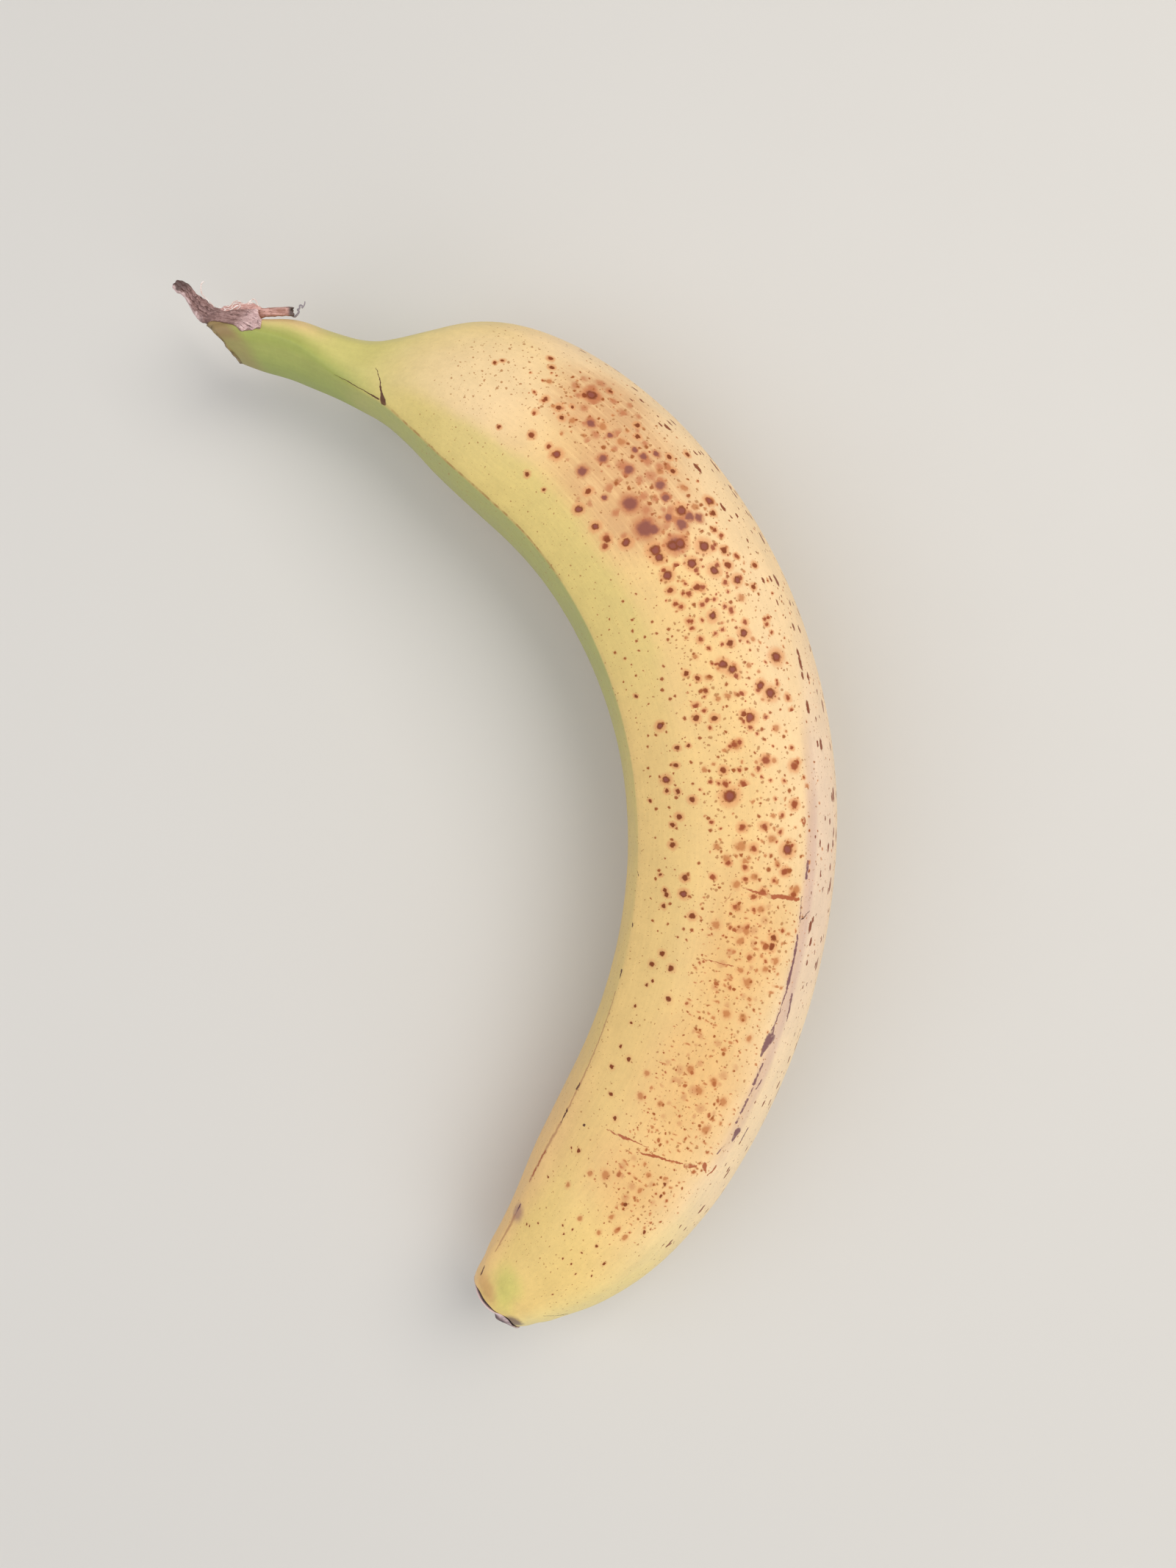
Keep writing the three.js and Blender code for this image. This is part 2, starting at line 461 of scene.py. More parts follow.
def smoothLine(points, count):
    # a smooth line of this many points through a few
    points = np.array(points, float)
    before, after = 2 * points[:1] - points[1:2], 2 * points[-1:] - points[-2:-1]
    points = np.concatenate([before, points, after])
    at = np.linspace(0, len(points) - 3, count)
    i = np.minimum(at.astype(int), len(points) - 4)
    t = (at - i)[:, None]
    a, b, c, d = (points[i + k] for k in range(4))
    return b + t / 2 * (c - a + t * (2 * a - 5 * b + 4 * c - d + t * (3 * (b - c) + d - a)))


def ovalPoints(count, square):
    # points round an oval: across and upwards, from -1 to 1, the more square the nearer to 0
    around = np.linspace(0, 2 * math.pi, count, endpoint=False)
    return [np.sign(v) * np.abs(v) ** square for v in (np.cos(around), np.sin(around))]


# the lip of the blossom scar, a thin sheet curled away from the peel on its inner side
lip = {
    "around": 64,
    "thick": 0.26,
    "levels": 2,
    "width": 5.55,
    "depth": 5.2,
    "bulgeIn": 0.4,  # how far the bulge is drawn in, against how far it stands out
    "waves": (0.16, 1.7, 21.0),  # height, size and seed
    "wavesUp": 0.4,
}
# degrees round from the outer side, how far past the end its rim reaches, how far it has
# curled away from the peel, and how far it bulges below the rim
lipReach = [
    (0, 0.25, 0, 0), (33, 0.0, 0, 0.2), (53, -0.3, 0, 1.1), (65, -0.8, 0, 2.1),
    (76, -0.9, 0.1, 2.2), (85, -0.55, 0.5, 1.2), (96, 0.05, 0.9, 0), (110, 0.4, 1, 0),
    (130, 0.3, 1, 0), (155, -0.1, 0.9, 0), (180, -0.2, 0.5, 0), (210, 0.5, 0.1, 0),
    (270, 1.2, 0, 0), (330, 0.5, 0, 0), (360, 0.25, 0, 0),
]
# from inside the scar to the rim: how far past the peel's edge, the share of the rim's reach,
# how far drawn in where it lies against the peel and where it has curled away, and the bulge
lipProfile = [
    (-1.0, 0.0, 1.9, 2.1, 0.0), (-0.5, 0.0, 1.1, 1.5, 0.4), (-0.1, 0.3, 0.7, 0.9, 1.0),
    (0.05, 0.7, 0.3, 0.4, 0.7), (0.05, 1.0, 0.0, 0.05, 0.0),
]


def makeLip(turns):
    angles = np.linspace(0, 360, lip["around"], endpoint=False)
    reach, curled, bulge = follow(lipReach, angles).T
    back = follow(edgeBack, angles)[:, 0]
    centre, outward, up, towardsStem = sliceArrays(turns[-1])
    rings, rim = [], []
    for start, share, flat, away, bulging in lipProfile:
        inset = flat + (away - flat) * curled + bulging * bulge * lip["bulgeIn"]
        past = start - back + share * (reach + back) + bulging * bulge
        across = np.cos(np.radians(angles)) * (lip["width"] - inset)
        height = np.sin(np.radians(angles)) * (lip["depth"] - inset)
        place = centre / mm + np.outer(across, outward) + np.outer(height, up)
        rings.append(place - np.outer(past, towardsStem))
        rim += [share] * len(angles)
    rim = np.array(rim)
    piece = drawnOut("banana_lip", rings)
    keepValues(piece, "rim", rim)
    keepValues(piece, "curled", np.tile(curled, len(rings)))
    co = coordinates(piece)
    wavy = rough(co / mm, *lip["waves"]) * rim
    moveTo(piece, co + np.outer(wavy, lip["wavesUp"] * up - towardsStem) * mm)
    wall = piece.modifiers.new("wall", "SOLIDIFY")
    wall.thickness = lip["thick"] * mm
    wall.offset = 0
    bpy.ops.object.modifier_apply(modifier="wall")
    subdivide(piece, lip["levels"])
    return piece


lipPiece = makeLip(turns)
print("lip curled")


# the rag of crown that tore off with the stem, dried, with a tail at one end and a flap at
# the other
rag = {
    "rings": 58,
    "around": 22,
    "square": 0.62,
    "levels": 2,
    # each kind of roughness has a height, a size and a seed
    "folds": (0.30, 1.0, 5.0),
    "foldStretch": (0.22, 1.3, 0),
    "crumples": (0.12, 0.9, 13.0),
    "edges": (0.16, 0.7, 31.0),
    "clear": (0.112, 0.28),  # how far its edges and its top at least stand above the stem
    "sunk": 0.25,  # its lower side stays this far in the stem at most
    "stemAbove": 12,  # only the stem is this high
    "feltFrom": 40,  # the stem is felt for from this height
}
# one edge, the other edge, height and thickness
ragStations = [
    ((-56.1, 87.9), (-55.1, 88.4), 16.6, 0.5), ((-56.1, 87.3), (-54.1, 88.5), 16.5, 1.0),
    ((-55.6, 86.6), (-53.3, 88.1), 16.4, 1.3), ((-54.6, 86.3), (-52.7, 87.2), 16.3, 1.2),
    ((-54.0, 85.6), (-52.2, 86.6), 16.3, 1.1), ((-53.6, 84.7), (-51.4, 86.0), 16.4, 1.2),
    ((-52.9, 83.3), (-50.4, 85.1), 16.6, 1.4), ((-52.1, 82.2), (-49.1, 84.0), 16.9, 1.8),
    ((-51.0, 81.3), (-48.0, 83.4), 17.2, 2.4), ((-49.8, 81.0), (-47.0, 83.0), 17.5, 3.0),
    ((-48.6, 80.9), (-45.8, 82.6), 17.7, 3.2), ((-47.3, 80.5), (-44.6, 82.8), 17.9, 3.2),
    ((-45.7, 80.0), (-43.4, 83.0), 18.1, 2.6), ((-44.5, 79.5), (-42.2, 83.0), 18.4, 2.0),
    ((-43.9, 78.8), (-41.2, 82.8), 18.7, 1.4), ((-42.8, 78.7), (-40.9, 82.1), 18.9, 1.0),
    ((-41.6, 78.8), (-40.6, 81.1), 19.0, 0.8), ((-40.5, 79.2), (-40.2, 79.7), 19.0, 0.6),
]
# the frayed skin along its outer edge
frayStations = [
    ((-47.6, 82.2), (-47.4, 83.0), 18.2, 0.4), ((-46.6, 82.1), (-46.4, 83.4), 18.5, 0.7),
    ((-45.7, 82.1), (-45.4, 83.8), 18.6, 0.8), ((-44.8, 82.2), (-44.7, 84.1), 18.7, 0.8),
    ((-44.0, 82.4), (-43.8, 83.9), 18.7, 0.8), ((-43.2, 82.5), (-43.1, 83.7), 18.6, 0.7),
    ((-42.4, 82.6), (-42.4, 83.7), 18.5, 0.6), ((-41.7, 82.7), (-41.5, 83.6), 18.4, 0.5),
    ((-41.0, 82.7), (-40.9, 83.1), 18.2, 0.3),
]


def clearOfStem(places, upper, settings):
    # lifts the upper points of a piece to clear the stem, and keeps the lower ones in it
    bpy.context.view_layer.update()
    atEdge, atTop = settings["clear"]
    for place, above in zip(places.reshape(-1, 3), upper.ravel()):
        start = Vector((*place[:2], settings["feltFrom"])) * mm
        found, hit, _, _ = peelPiece.ray_cast(start, Vector((0, 0, -1)))
        if found and hit.z / mm > settings["stemAbove"]:
            clear = atEdge + (atTop - atEdge) * above if above > 0 else -settings["sunk"]
            place[2] = max(place[2], hit.z / mm + clear)


def makeStrip(name, stations, settings):
    # a flat, crumpled strip, drawn through its stations
    line = smoothLine([(*near, *far, *rest) for near, far, *rest in stations], settings["rings"])
    across, upward = ovalPoints(settings["around"], settings["square"])
    middle, half = (line[:, 0:2] + line[:, 2:4]) / 2, (line[:, 2:4] - line[:, 0:2]) / 2
    flat = middle[:, None] + half[:, None] * across[None, :, None]
    height = line[:, 4:5] + upward * line[:, 5:6] / 2
    places = np.concatenate([flat, height[:, :, None]], 2)
    clearOfStem(places, np.tile(upward, (len(line), 1)), settings)
    piece = drawnOut(name, places)
    step = np.linalg.norm(np.diff(middle, axis=0), axis=1)
    along = np.concatenate([[0], np.cumsum(step)])[:, None]
    width = np.linalg.norm(half, axis=1)[:, None]
    return roughened(piece, (along, across * width, across), settings)


def roughened(piece, strip, settings):
    # closed and smooth, then with lengthwise folds, small crumples and uneven edges
    keepValues(piece, "strip", np.stack(np.broadcast_arrays(*strip), 2).reshape(-1, 3))
    closeEnds(piece)
    subdivide(piece, settings["levels"])
    co = coordinates(piece)
    strip = heldValues(piece, "strip")
    lift = rough(strip * settings["foldStretch"], *settings["folds"])
    lift += rough(co / mm, *settings["crumples"])
    lift += rough(co / mm, *settings["edges"]) * np.abs(strip[:, 2]) ** 3
    moveTo(piece, co + normalsOf(piece) * lift[:, None] * mm)
    return piece


fray = {
    **rag,
    "rings": 34,
    "around": 12,
    "folds": (0.25, 1.0, 5.0),
    "crumples": (0.3, 0.9, 13.0),
    "edges": (0.35, 0.7, 31.0),
}
ragPiece = makeStrip("crown_rag", ragStations, rag)
frayPiece = makeStrip("crown_fray", frayStations, fray)
print("crown rag made")


# the splinter of stem skin rolled up beside the rag
roll = {
    "path": [(-42.2, 82.4, 17.6), (-40.9, 82.6, 17.7), (-38.3, 82.75, 17.9), (-35.6, 82.75, 17.9)],
    "rings": 18,
    "around": 20,
    "levels": 2,
    "radius": 0.76,
    "startShare": 0.7,  # its first ring against the others
    "length": 6.4,
    "slit": 0.26,  # how deep the slit is where its two edges meet
    "slitAt": 62,  # degrees round it
    "slitWidth": 14,
    # the rings that close its end: how far past it, and their share of its radius
    "endRings": [(0.02, 1.0), (0.1, 0.9), (0.06, 0.72), (-0.3, 0.55), (-0.9, 0.4)],
    "endLength": 0.2,
    "unevenEnd": (0.7, 0.5, 17.0),
    "folds": (0.12, 1.0, 5.0),
    "foldStretch": rag["foldStretch"],
    "crumples": (0.2, 0.9, 13.0),
    "edges": (0, 1, 0),  # none
}
# loose fibres: their points and their radius
strands = [
    ([(-50.8, 88.3, 16.8), (-51.2, 87.8, 16.9), (-51.25, 87.1, 17.0), (-51.1, 86.2, 17.1),
      (-50.8, 85.7, 17.3), (-50.2, 85.1, 17.4), (-49.6, 84.5, 17.5), (-48.8, 83.7, 17.4)], 0.13),
    ([(-36.0, 82.4, 17.6), (-35.4, 82.1, 17.4), (-35.0, 82.3, 17.5), (-34.6, 82.9, 17.5),
      (-34.8, 83.2, 17.6), (-34.5, 83.4, 17.6), (-34.4, 83.9, 17.7), (-34.0, 83.8, 17.8),
      (-34.0, 83.4, 17.8), (-33.6, 84.0, 17.8), (-33.5, 84.5, 17.9)], 0.19),
    ([(-47.4, 82.5, 18.4), (-47.2, 83.1, 18.5), (-46.8, 83.0, 18.9), (-46.6, 82.6, 18.8),
      (-46.9, 82.5, 18.5), (-47.1, 82.7, 18.4)], 0.09),
    ([(-46.5, 82.5, 18.5), (-46.2, 83.1, 18.9), (-45.5, 83.5, 19.0), (-45.3, 84.0, 18.8),
      (-44.7, 84.3, 18.6), (-44.1, 84.1, 18.8), (-43.9, 83.6, 19.1), (-44.2, 83.2, 18.9)], 0.11),
    ([(-45.7, 82.6, 18.8), (-45.4, 83.2, 19.1), (-44.9, 83.6, 19.2), (-44.3, 83.6, 19.3),
      (-44.0, 83.2, 19.2), (-44.4, 82.8, 19.0), (-44.9, 82.7, 18.8)], 0.09),
    ([(-46.3, 82.3, 18.6), (-45.5, 82.7, 19.0), (-44.7, 83.2, 19.1), (-43.9, 83.6, 19.1),
      (-43.1, 83.7, 18.8), (-42.6, 84.2, 18.6), (-42.0, 84.65, 18.5), (-41.6, 84.4, 18.4),
      (-41.3, 83.7, 18.3), (-40.9, 82.9, 18.2)], 0.13),
    ([(-43.0, 83.3, 18.9), (-42.6, 83.9, 18.8), (-42.2, 84.0, 18.7), (-42.0, 83.6, 18.8),
      (-41.7, 83.4, 18.7), (-41.3, 83.6, 18.4)], 0.12),
    ([(-47.2, 82.3, 18.6), (-46.5, 82.8, 18.9), (-46.0, 82.8, 19.1), (-45.6, 82.5, 19.0),
      (-46.0, 82.3, 18.7)], 0.09),
]
strayFibres = {
    "count": 26,
    "seed": 7,
    "from": (-47.5, 82.6, 18.5),
    "to": (-41.2, 83.1, 18.4),
    "way": [(-0.5, 0.5), (0.1, 0.8), (-0.1, 0.5)],  # the ways a fibre may set out
    "wander": (-0.35, 0.35),  # and how far it may turn from its way at each step
    "steps": 4,
    "stepLength": 0.9 / 3.5,
    "radius": (0.04, 0.08),
}
fibreEnds = (1.15, 0.6)  # how thick a fibre is at its two ends, against its radius
fibreCorners = 6
ringsPerPoint = 5


def tubeRings(path, radii):
    # rings of points round a path, square to it: a radius for each ring and each corner
    path = np.array(path)
    ahead = unit(np.gradient(path, axis=0))
    aside = unit(np.cross(ahead, (0, 0, 1)))
    above = np.cross(aside, ahead)
    angles = np.linspace(0, 2 * math.pi, radii.shape[1], endpoint=False)
    return (
        path[:, None]
        + aside[:, None] * (np.cos(angles) * radii)[:, :, None]
        + above[:, None] * (np.sin(angles) * radii)[:, :, None]
    )


def makeRoll():
    path = smoothLine(roll["path"], roll["rings"])
    angles = np.linspace(0, 360, roll["around"], endpoint=False)
    slit = roll["slit"] * np.exp(-(((angles - roll["slitAt"]) / roll["slitWidth"]) ** 2))
    radii = np.tile(roll["radius"] - slit, (len(path), 1))
    radii[0] *= roll["startShare"]
    rings = tubeRings(path, radii)
    ahead = unit(path[-1] - path[-2])
    lastRing = rings[-1] - path[-1]
    uneven = np.outer(rough(lastRing, *roll["unevenEnd"]), ahead)
    ends = [
        path[-1] + ahead * past + (lastRing + uneven) * share for past, share in roll["endRings"]
    ]
    piece = drawnOut("crown_splinter", [*rings, *ends])
    along = np.linspace(0, roll["length"], len(path))
    along = np.append(along, [roll["length"] + roll["endLength"]] * len(ends))
    around = np.radians(angles) * roll["radius"]
    return roughened(piece, (along[:, None], around, np.zeros((1, 1))), roll)


def makeFibres():
    # every loose fibre is a thin tube, and all are then joined
    chance = random.Random(strayFibres["seed"])
    drawn = list(strands)
    start, end = np.array(strayFibres["from"]), np.array(strayFibres["to"])
    for _ in range(strayFibres["count"]):
        points = [start + (end - start) * chance.random()]
        way = np.array([chance.uniform(*limits) for limits in strayFibres["way"]])
        for _ in range(strayFibres["steps"]):
            way += [chance.uniform(*strayFibres["wander"]) for _ in range(3)]
            points.append(points[-1] + way * strayFibres["stepLength"])
        drawn.append((points, chance.uniform(*strayFibres["radius"])))
    pieces = []
    for points, radius in drawn:
        path = smoothLine(points, ringsPerPoint * len(points))
        radii = radius * np.linspace(*fibreEnds, len(path))
        rings = tubeRings(path, np.outer(radii, np.ones(fibreCorners)))
        pieces.append(drawnOut("crown_fibres", rings))
        closeEnds(pieces[-1])
    startAlone(*pieces)
    bpy.ops.object.join()
    pieces[0].name = "crown_fibres"
    subdivide(pieces[0], 1)
    return pieces[0]


splinterPiece = makeRoll()
fibresPiece = makeFibres()
print("splinter and fibres made")


def colour(red, green, blue):
    # a colour from its usual 0 to 255 values
    values = [value / 255 for value in (red, green, blue)]
    return (*(v / 12.92 if v <= 0.04045 else ((v + 0.055) / 1.055) ** 2.4 for v in values), 1.0)


# finishes are node trees, made with these short helpers
noiseRange = (0.3, 0.7)  # most noise lies between these


class Nodes:
    def __init__(self, tree):
        self.tree = tree

    def feed(self, socket, value):
        if isinstance(value, bpy.types.NodeSocket):
            self.tree.links.new(value, socket)
        else:
            socket.default_value = value

    def node(self, kind, feeds, **settings):
        made = self.tree.nodes.new("ShaderNode" + kind)
        for name, value in settings.items():
            setattr(made, name, value)
        for name, value in feeds.items():
            self.feed(made.inputs[name], value)
        return made

    def held(self, name, output="Fac"):
        return self.node("Attribute", {}, attribute_name=name).outputs[output]

    def parts(self, vector):
        return self.node("SeparateXYZ", {0: vector}).outputs

    def maths(self, operation, a, b=0.0, c=0.0):
        return self.node("Math", {0: a, 1: b, 2: c}, operation=operation).outputs[0]

    def gathered(self, operation, values):
        # made as it goes along, so that few values wait at a time
        found = None
        for value in values:
            found = value if found is None else self.maths(operation, found, value)
        return found

    def times(self, *values):
        return self.gathered("MULTIPLY", values)

    def plus(self, *values):
        return self.gathered("ADD", values)

    def most(self, *values):
        return self.gathered("MAXIMUM", values)

    def least(self, values):
        return self.gathered("MINIMUM", values)

    def unsigned(self, value):
        return self.maths("ABSOLUTE", value)

    def ease(self, value, low, high, toLow=0.0, toHigh=1.0):
        # smoothly from toLow to toHigh as the value goes from low to high
        feeds = {"Value": value, "From Min": low, "From Max": high}
        feeds.update({"To Min": toLow, "To Max": toHigh})
        return self.node("MapRange", feeds, interpolation_type="SMOOTHSTEP").outputs[0]

    def vary(self, noise, low, high):
        return self.ease(noise, *noiseRange, low, high)

    def between(self, value, low, high, soft):
        # 1 from low to high, fading over soft on both sides
        rise = self.ease(value, low - soft / 2, low + soft / 2)
        return self.times(rise, self.ease(value, high - soft / 2, high + soft / 2, 1.0, 0.0))

    def vector(self, x, y=0.0, z=0.0):
        return self.node("CombineXYZ", {0: x, 1: y, 2: z}).outputs[0]

    def vectors(self, operation, a, b, output=0):
        return self.node("VectorMath", {0: a, 1: b}, operation=operation).outputs[output]

    def stretch(self, place, scale):
        return self.vectors("MULTIPLY", place, scale)

    def shift(self, place, move):
        return self.vectors("ADD", place, move)

    def apart(self, place, point):
        return self.vectors("DISTANCE", place, point, "Value")

    def clouds(self, place, size, detail=2.0, roughness=0.5, output="Fac"):
        feeds = {"Vector": place, "Scale": 1 / size, "Detail": detail, "Roughness": roughness}
        return self.node("TexNoise", feeds).outputs[output]

    def drift(self, place, size, reach):
        # a small wandering step along and across the skin
        noisy = self.clouds(place, size, 2.0, 0.6, "Color")
        red, green, _ = self.node("SeparateColor", {0: noisy}).outputs
        return self.vector(*(self.times(self.plus(part, -0.5), reach) for part in (red, green)))

    def mix(self, share, under, over):
        made = self.tree.nodes.new("ShaderNodeMix")
        made.data_type = "RGBA"
        for index, value in ((0, share), (6, under), (7, over)):
            self.feed(made.inputs[index], value)
        return made.outputs[2]

    def grouped(self, name, place, build):
        # nodes that turn a place into a distance, kept in a group of their own
        tree = bpy.data.node_groups.new(name, "ShaderNodeTree")
        tree.interface.new_socket("Place", in_out="INPUT", socket_type="NodeSocketVector")
        tree.interface.new_socket("Distance", in_out="OUTPUT", socket_type="NodeSocketFloat")
        inside = Nodes(tree)
        start = tree.nodes.new("NodeGroupInput")
        end = tree.nodes.new("NodeGroupOutput")
        inside.feed(end.inputs[0], build(inside, start.outputs[0]))
        return self.node("Group", {0: place}, node_tree=tree).outputs[0]


class Finish(Nodes):
    # a material: its look gives the colours, and surface and relief are what's made so far
    def __init__(self, name, look):
        self.material = bpy.data.materials.new(name)
        self.material.use_nodes = True
        super().__init__(self.material.node_tree)
        self.shader = self.tree.nodes["Principled BSDF"]
        self.look = look
        self.surface = None
        self.relief = {}

    def placeInside(self):
        # the place in the piece, in millimetres
        return self.stretch(self.node("TexCoord", {}).outputs["Object"], (1 / mm,) * 3)

    def blend(self, share, tone, otherTone):
        # from one of the look's tones to another
        return self.mix(share, *(colour(*self.look[name]) for name in (tone, otherTone)))

    def cover(self, tone, *shares):
        # lays one of the look's tones, or a mixed one, over the surface, by all these shares
        tone = colour(*self.look[tone]) if isinstance(tone, str) else tone
        self.surface = self.mix(self.times(*shares), self.surface, tone)

    def bump(self, height, depth):
        # over the bumps made before: height from 0 to 1 stands for depth in millimetres
        feeds = {"Height": height, "Distance": depth * mm, "Strength": 1.0, **self.relief}
        self.relief = {"Normal": self.node("Bump", feeds).outputs[0]}

    def done(self, gloss, roughness):
        feeds = {"Base Color": self.surface, "Roughness": roughness, **self.relief}
        for name, value in feeds.items():
            self.feed(self.shader.inputs[name], value)
        self.shader.inputs["Specular IOR Level"].default_value = gloss
        return self.material


peelLook = {
    "stem": (160, 168, 84), "stemShaded": (146, 164, 82), "stemLit": (206, 196, 118),
    "stemTan": (232, 192, 140), "stemWarm": (222, 198, 136), "dried": (152, 128, 86),
    "neck": (226, 203, 128), "yellow": (238, 200, 136), "gold": (236, 200, 126),
    "peachAndSheen": (243, 212, 166), "greenish": (224, 203, 122), "innerGreenAndShade": (174, 176, 108),
    "under": (230, 204, 142), "lavenderAndSheen": (236, 210, 186), "pale": (249, 222, 180),
    "mauve": (204, 166, 158), "green": (202, 202, 104), "tipGold": (238, 205, 127),
    "innerTipAndLight": (238, 194, 132), "outerTipAndLight": (242, 223, 150), "tipBrown": (190, 138, 88),
    "tipPurple": (158, 112, 108), "scarPurple": (112, 84, 80), "torn": (156, 134, 92),
    "scar": (104, 80, 70), "scarDark": (62, 46, 44), "tornDark": (104, 84, 56),
    "haze": (214, 162, 112), "fibre": (228, 184, 130), "tanHaze": (230, 180, 114),
    "spotMiddle": (146, 78, 66), "spotEdge": (130, 60, 12), "rust": (156, 74, 30),
    "brown": (158, 84, 26), "spotHalo": (222, 152, 96), "softSpot": (192, 116, 72),
    "softMiddle": (132, 70, 62), "tan": (188, 114, 58), "dot": (168, 106, 50),
    "fleck": (134, 62, 28), "purple": (124, 82, 86), "redBrown": (170, 86, 46),
    "faint": (178, 122, 86), "crack": (88, 42, 32), "ridgeLine": (176, 134, 74),
}
# the peel's grain: its sizes, depths and reaches are in millimetres
grain = {
    "wanderStretch": (0.35, 1, 1),
    "wanderSize": 9.0,
    "wanderAlong": 16.0,  # how far the ground colours' edges wander along the fruit
    "wanderRound": 26.0,  # and in degrees round it
    "tornSlant": 1.05,  # the torn edge slants across the stem
    "tornShare": 0.72,
    "tornWander": 2.5,
    "warps": [(1.6, 0.7), (0.5, 0.42)],  # size and reach of the wobbles in the marks' outlines
    "fibreStretch": (0.05, 1, 1),
    "fibreSize": 0.5,
    "fibreDepth": 0.03,
    "mottleSize": 5.0,
    "speckleSize": 0.8,
    "poreSize": 0.35,
    "poreDepth": 0.015,
    "blotchSize": 1.4,  # on the dry ends
    "blotchDepth": 0.5,
    "pitDepth": 0.06,  # how deep the large spots and the crack are
    "gloss": 0.34,
    "roughness": (0.42, 0.54),
    "spotRoughness": 0.62,
}
# how each kind of mark fades: where it begins, 1 being the mark's edge and 0 its middle, where
# it's whole, and how strong it is there
fades = {
    "halo": (2.5, 1.1, 1.0), "paleHalo": (2.0, 0.9, 0.35), "tan": (1.2, 0.5, 0.8),
    "blur": (1.5, 0.2, 1.0), "dot": (1.25, 0.6, 0.75), "brown": (1.3, 0.6, 0.97),
    "rust": (1.3, 0.55, 1.0), "softSpot": (1.5, 0.5, 0.9), "softMiddle": (0.85, 0.4, 0.85),
    "spotEdge": (1.22, 0.7, 1.0), "spotMiddle": (0.8, 0.35, 0.85), "fleck": (1.1, 0.75, 0.97),
    "faint": (1.6, 0.2, 0.7), "purple": (1.2, 0.75, 1.0), "redBrown": (1.2, 0.75, 1.0),
    "crack": (1.2, 0.75, 0.95),
}
deepSpotsFrom = 0.6  # spots of this radius or more have a sunken, darker middle
deepCracks = 7  # how many of the crack's first streaks are sunken

# the spots that stand out, by radius: turn, and degrees from the top towards the outer side
darkSpots = {
    0.2: [
        (-39.4, -44), (-46, -20), (-46.6, -16), (-45.5, -13), (-48.4, -4), (-48.2, 3), (-48.5, 11),
        (-47.5, 20), (-43.9, -48), (-46.5, 2), (-49.5, -44), (-49.3, -41), (-48.2, -36),
        (-51.8, 15),
    ],
    0.3: [
        (50.3, -19), (41.8, -30), (54.9, 14), (54.4, 17), (45.9, 14), (44.7, 37), (15.6, -47),
        (8.7, -25), (3, -51), (-5.8, -45), (-17.9, -39), (-18.6, -42), (-21.5, -45), (-23.4, -44),
        (-26.4, -45), (-44.9, 6), (-45.7, 19), (-40.8, 23), (-37.1, 17), (-35.9, 15),
    ],
    0.4: [
        (44.4, -30), (50.9, 33), (50.2, 28), (48.4, 9), (45.8, 5), (44.7, -11), (45.9, 24),
        (40.5, 31), (39.6, 26), (35.8, 43), (36.3, 32), (35, 28), (29.8, 33), (28.4, 28), (24, 40),
        (22.2, 33), (16.3, -17), (15.5, -12), (14, -10), (10.9, 6), (8.7, -31), (6.8, -33),
        (4, -40), (3.9, -34), (0.1, -38), (-7.9, -40), (-7.5, -41), (-9.3, -41), (-29, -45),
        (-27.1, -37), (-31.6, -38), (-33.4, -29), (-39, -39), (-39.8, 3),
    ],
    0.5: [
        (46.8, 9), (46.9, -12), (38.3, -14), (32.9, -22), (26.3, 27), (24.9, 25), (24.9, -8),
        (24.1, 5), (17.9, 9), (11.5, -18), (11.1, -9), (5.7, -9), (2.9, -26), (1.1, -34),
        (-2.2, -38), (-5.7, -30), (-9.7, -24), (-14.6, -37), (-16.1, -42), (-15.8, -30),
        (-19.1, -27), (-10.4, 20), (-11.2, 20),
    ],
    0.6: [
        (37.5, -24), (34.8, -23), (31, 35), (23.3, 26), (20.9, 6), (18.4, 18), (13.3, 18),
        (11.5, -38), (-7.5, -30),
    ],
    0.7: [
        (43.5, -12), (31.5, -15), (28.4, -5), (26.4, 8), (24.9, 17), (26.4, -6), (16.1, 2),
        (15.4, 6), (10.5, 9), (5.3, -40),
    ],
    0.8: [(45.5, 27), (28.7, 8), (31.4, 18), (27.4, 18), (15.5, 31), (12.4, 22), (-2.1, 23)],
    0.9: [(29.2, -5), (28.8, 4)],
    1.0: [(3.1, -7)],
}
# redder spots, with less of a middle
rustSpots = {
    0.2: [(17.5, 18)],
    0.3: [
        (24.9, 0), (24.1, -3), (22.5, 6), (22.4, 10), (21.2, -5), (20.5, -6), (19.1, 32),
        (19.1, 34), (18.6, 32), (13.1, 27), (4.5, -12), (8, -4), (4.7, -16), (10.2, 5), (12.1, -13),
    ],
    0.4: [
        (24.1, 4), (23, -7), (11, 6), (10.6, 9), (11.7, 31), (8.1, -2), (8.3, 1), (5.8, 30),
        (4.4, -9), (9.6, 8), (26.9, 22),
    ],
    0.5: [(32.5, -25)],
    0.6: [(5.5, 28), (33.1, -22)],
}
# paler spots, orange to tan
tanSpots = {
    0.4: [(-16.5, 15)],
    0.5: [
        (13, 0), (-13.4, 19), (-14, 6), (-20, 21), (-27.4, -24), (-29.4, -10), (-39.8, -25),
        (-42.6, -33), (-44.1, -14), (-43.7, 1), (-41.7, 1), (-42.4, 9), (-42.4, 16), (-37.8, 5),
        (-36.1, 4),
    ],
    0.6: [
        (21.6, 24), (9.1, 21), (-2.1, -14), (-3.5, 18), (-4.9, 6), (-5.8, -3), (-11.2, 3),
        (-24.9, -3), (-25, 11), (-29.8, -22),
    ],
    0.7: [(-10.1, -11), (-15, 11), (-18.5, 5), (-18.4, 14), (-26.4, 6), (-26.4, 21), (-29.5, 19)],
    0.8: [(8.1, -1), (-38.8, -17)],
    0.9: [(-1.9, -2)],
}
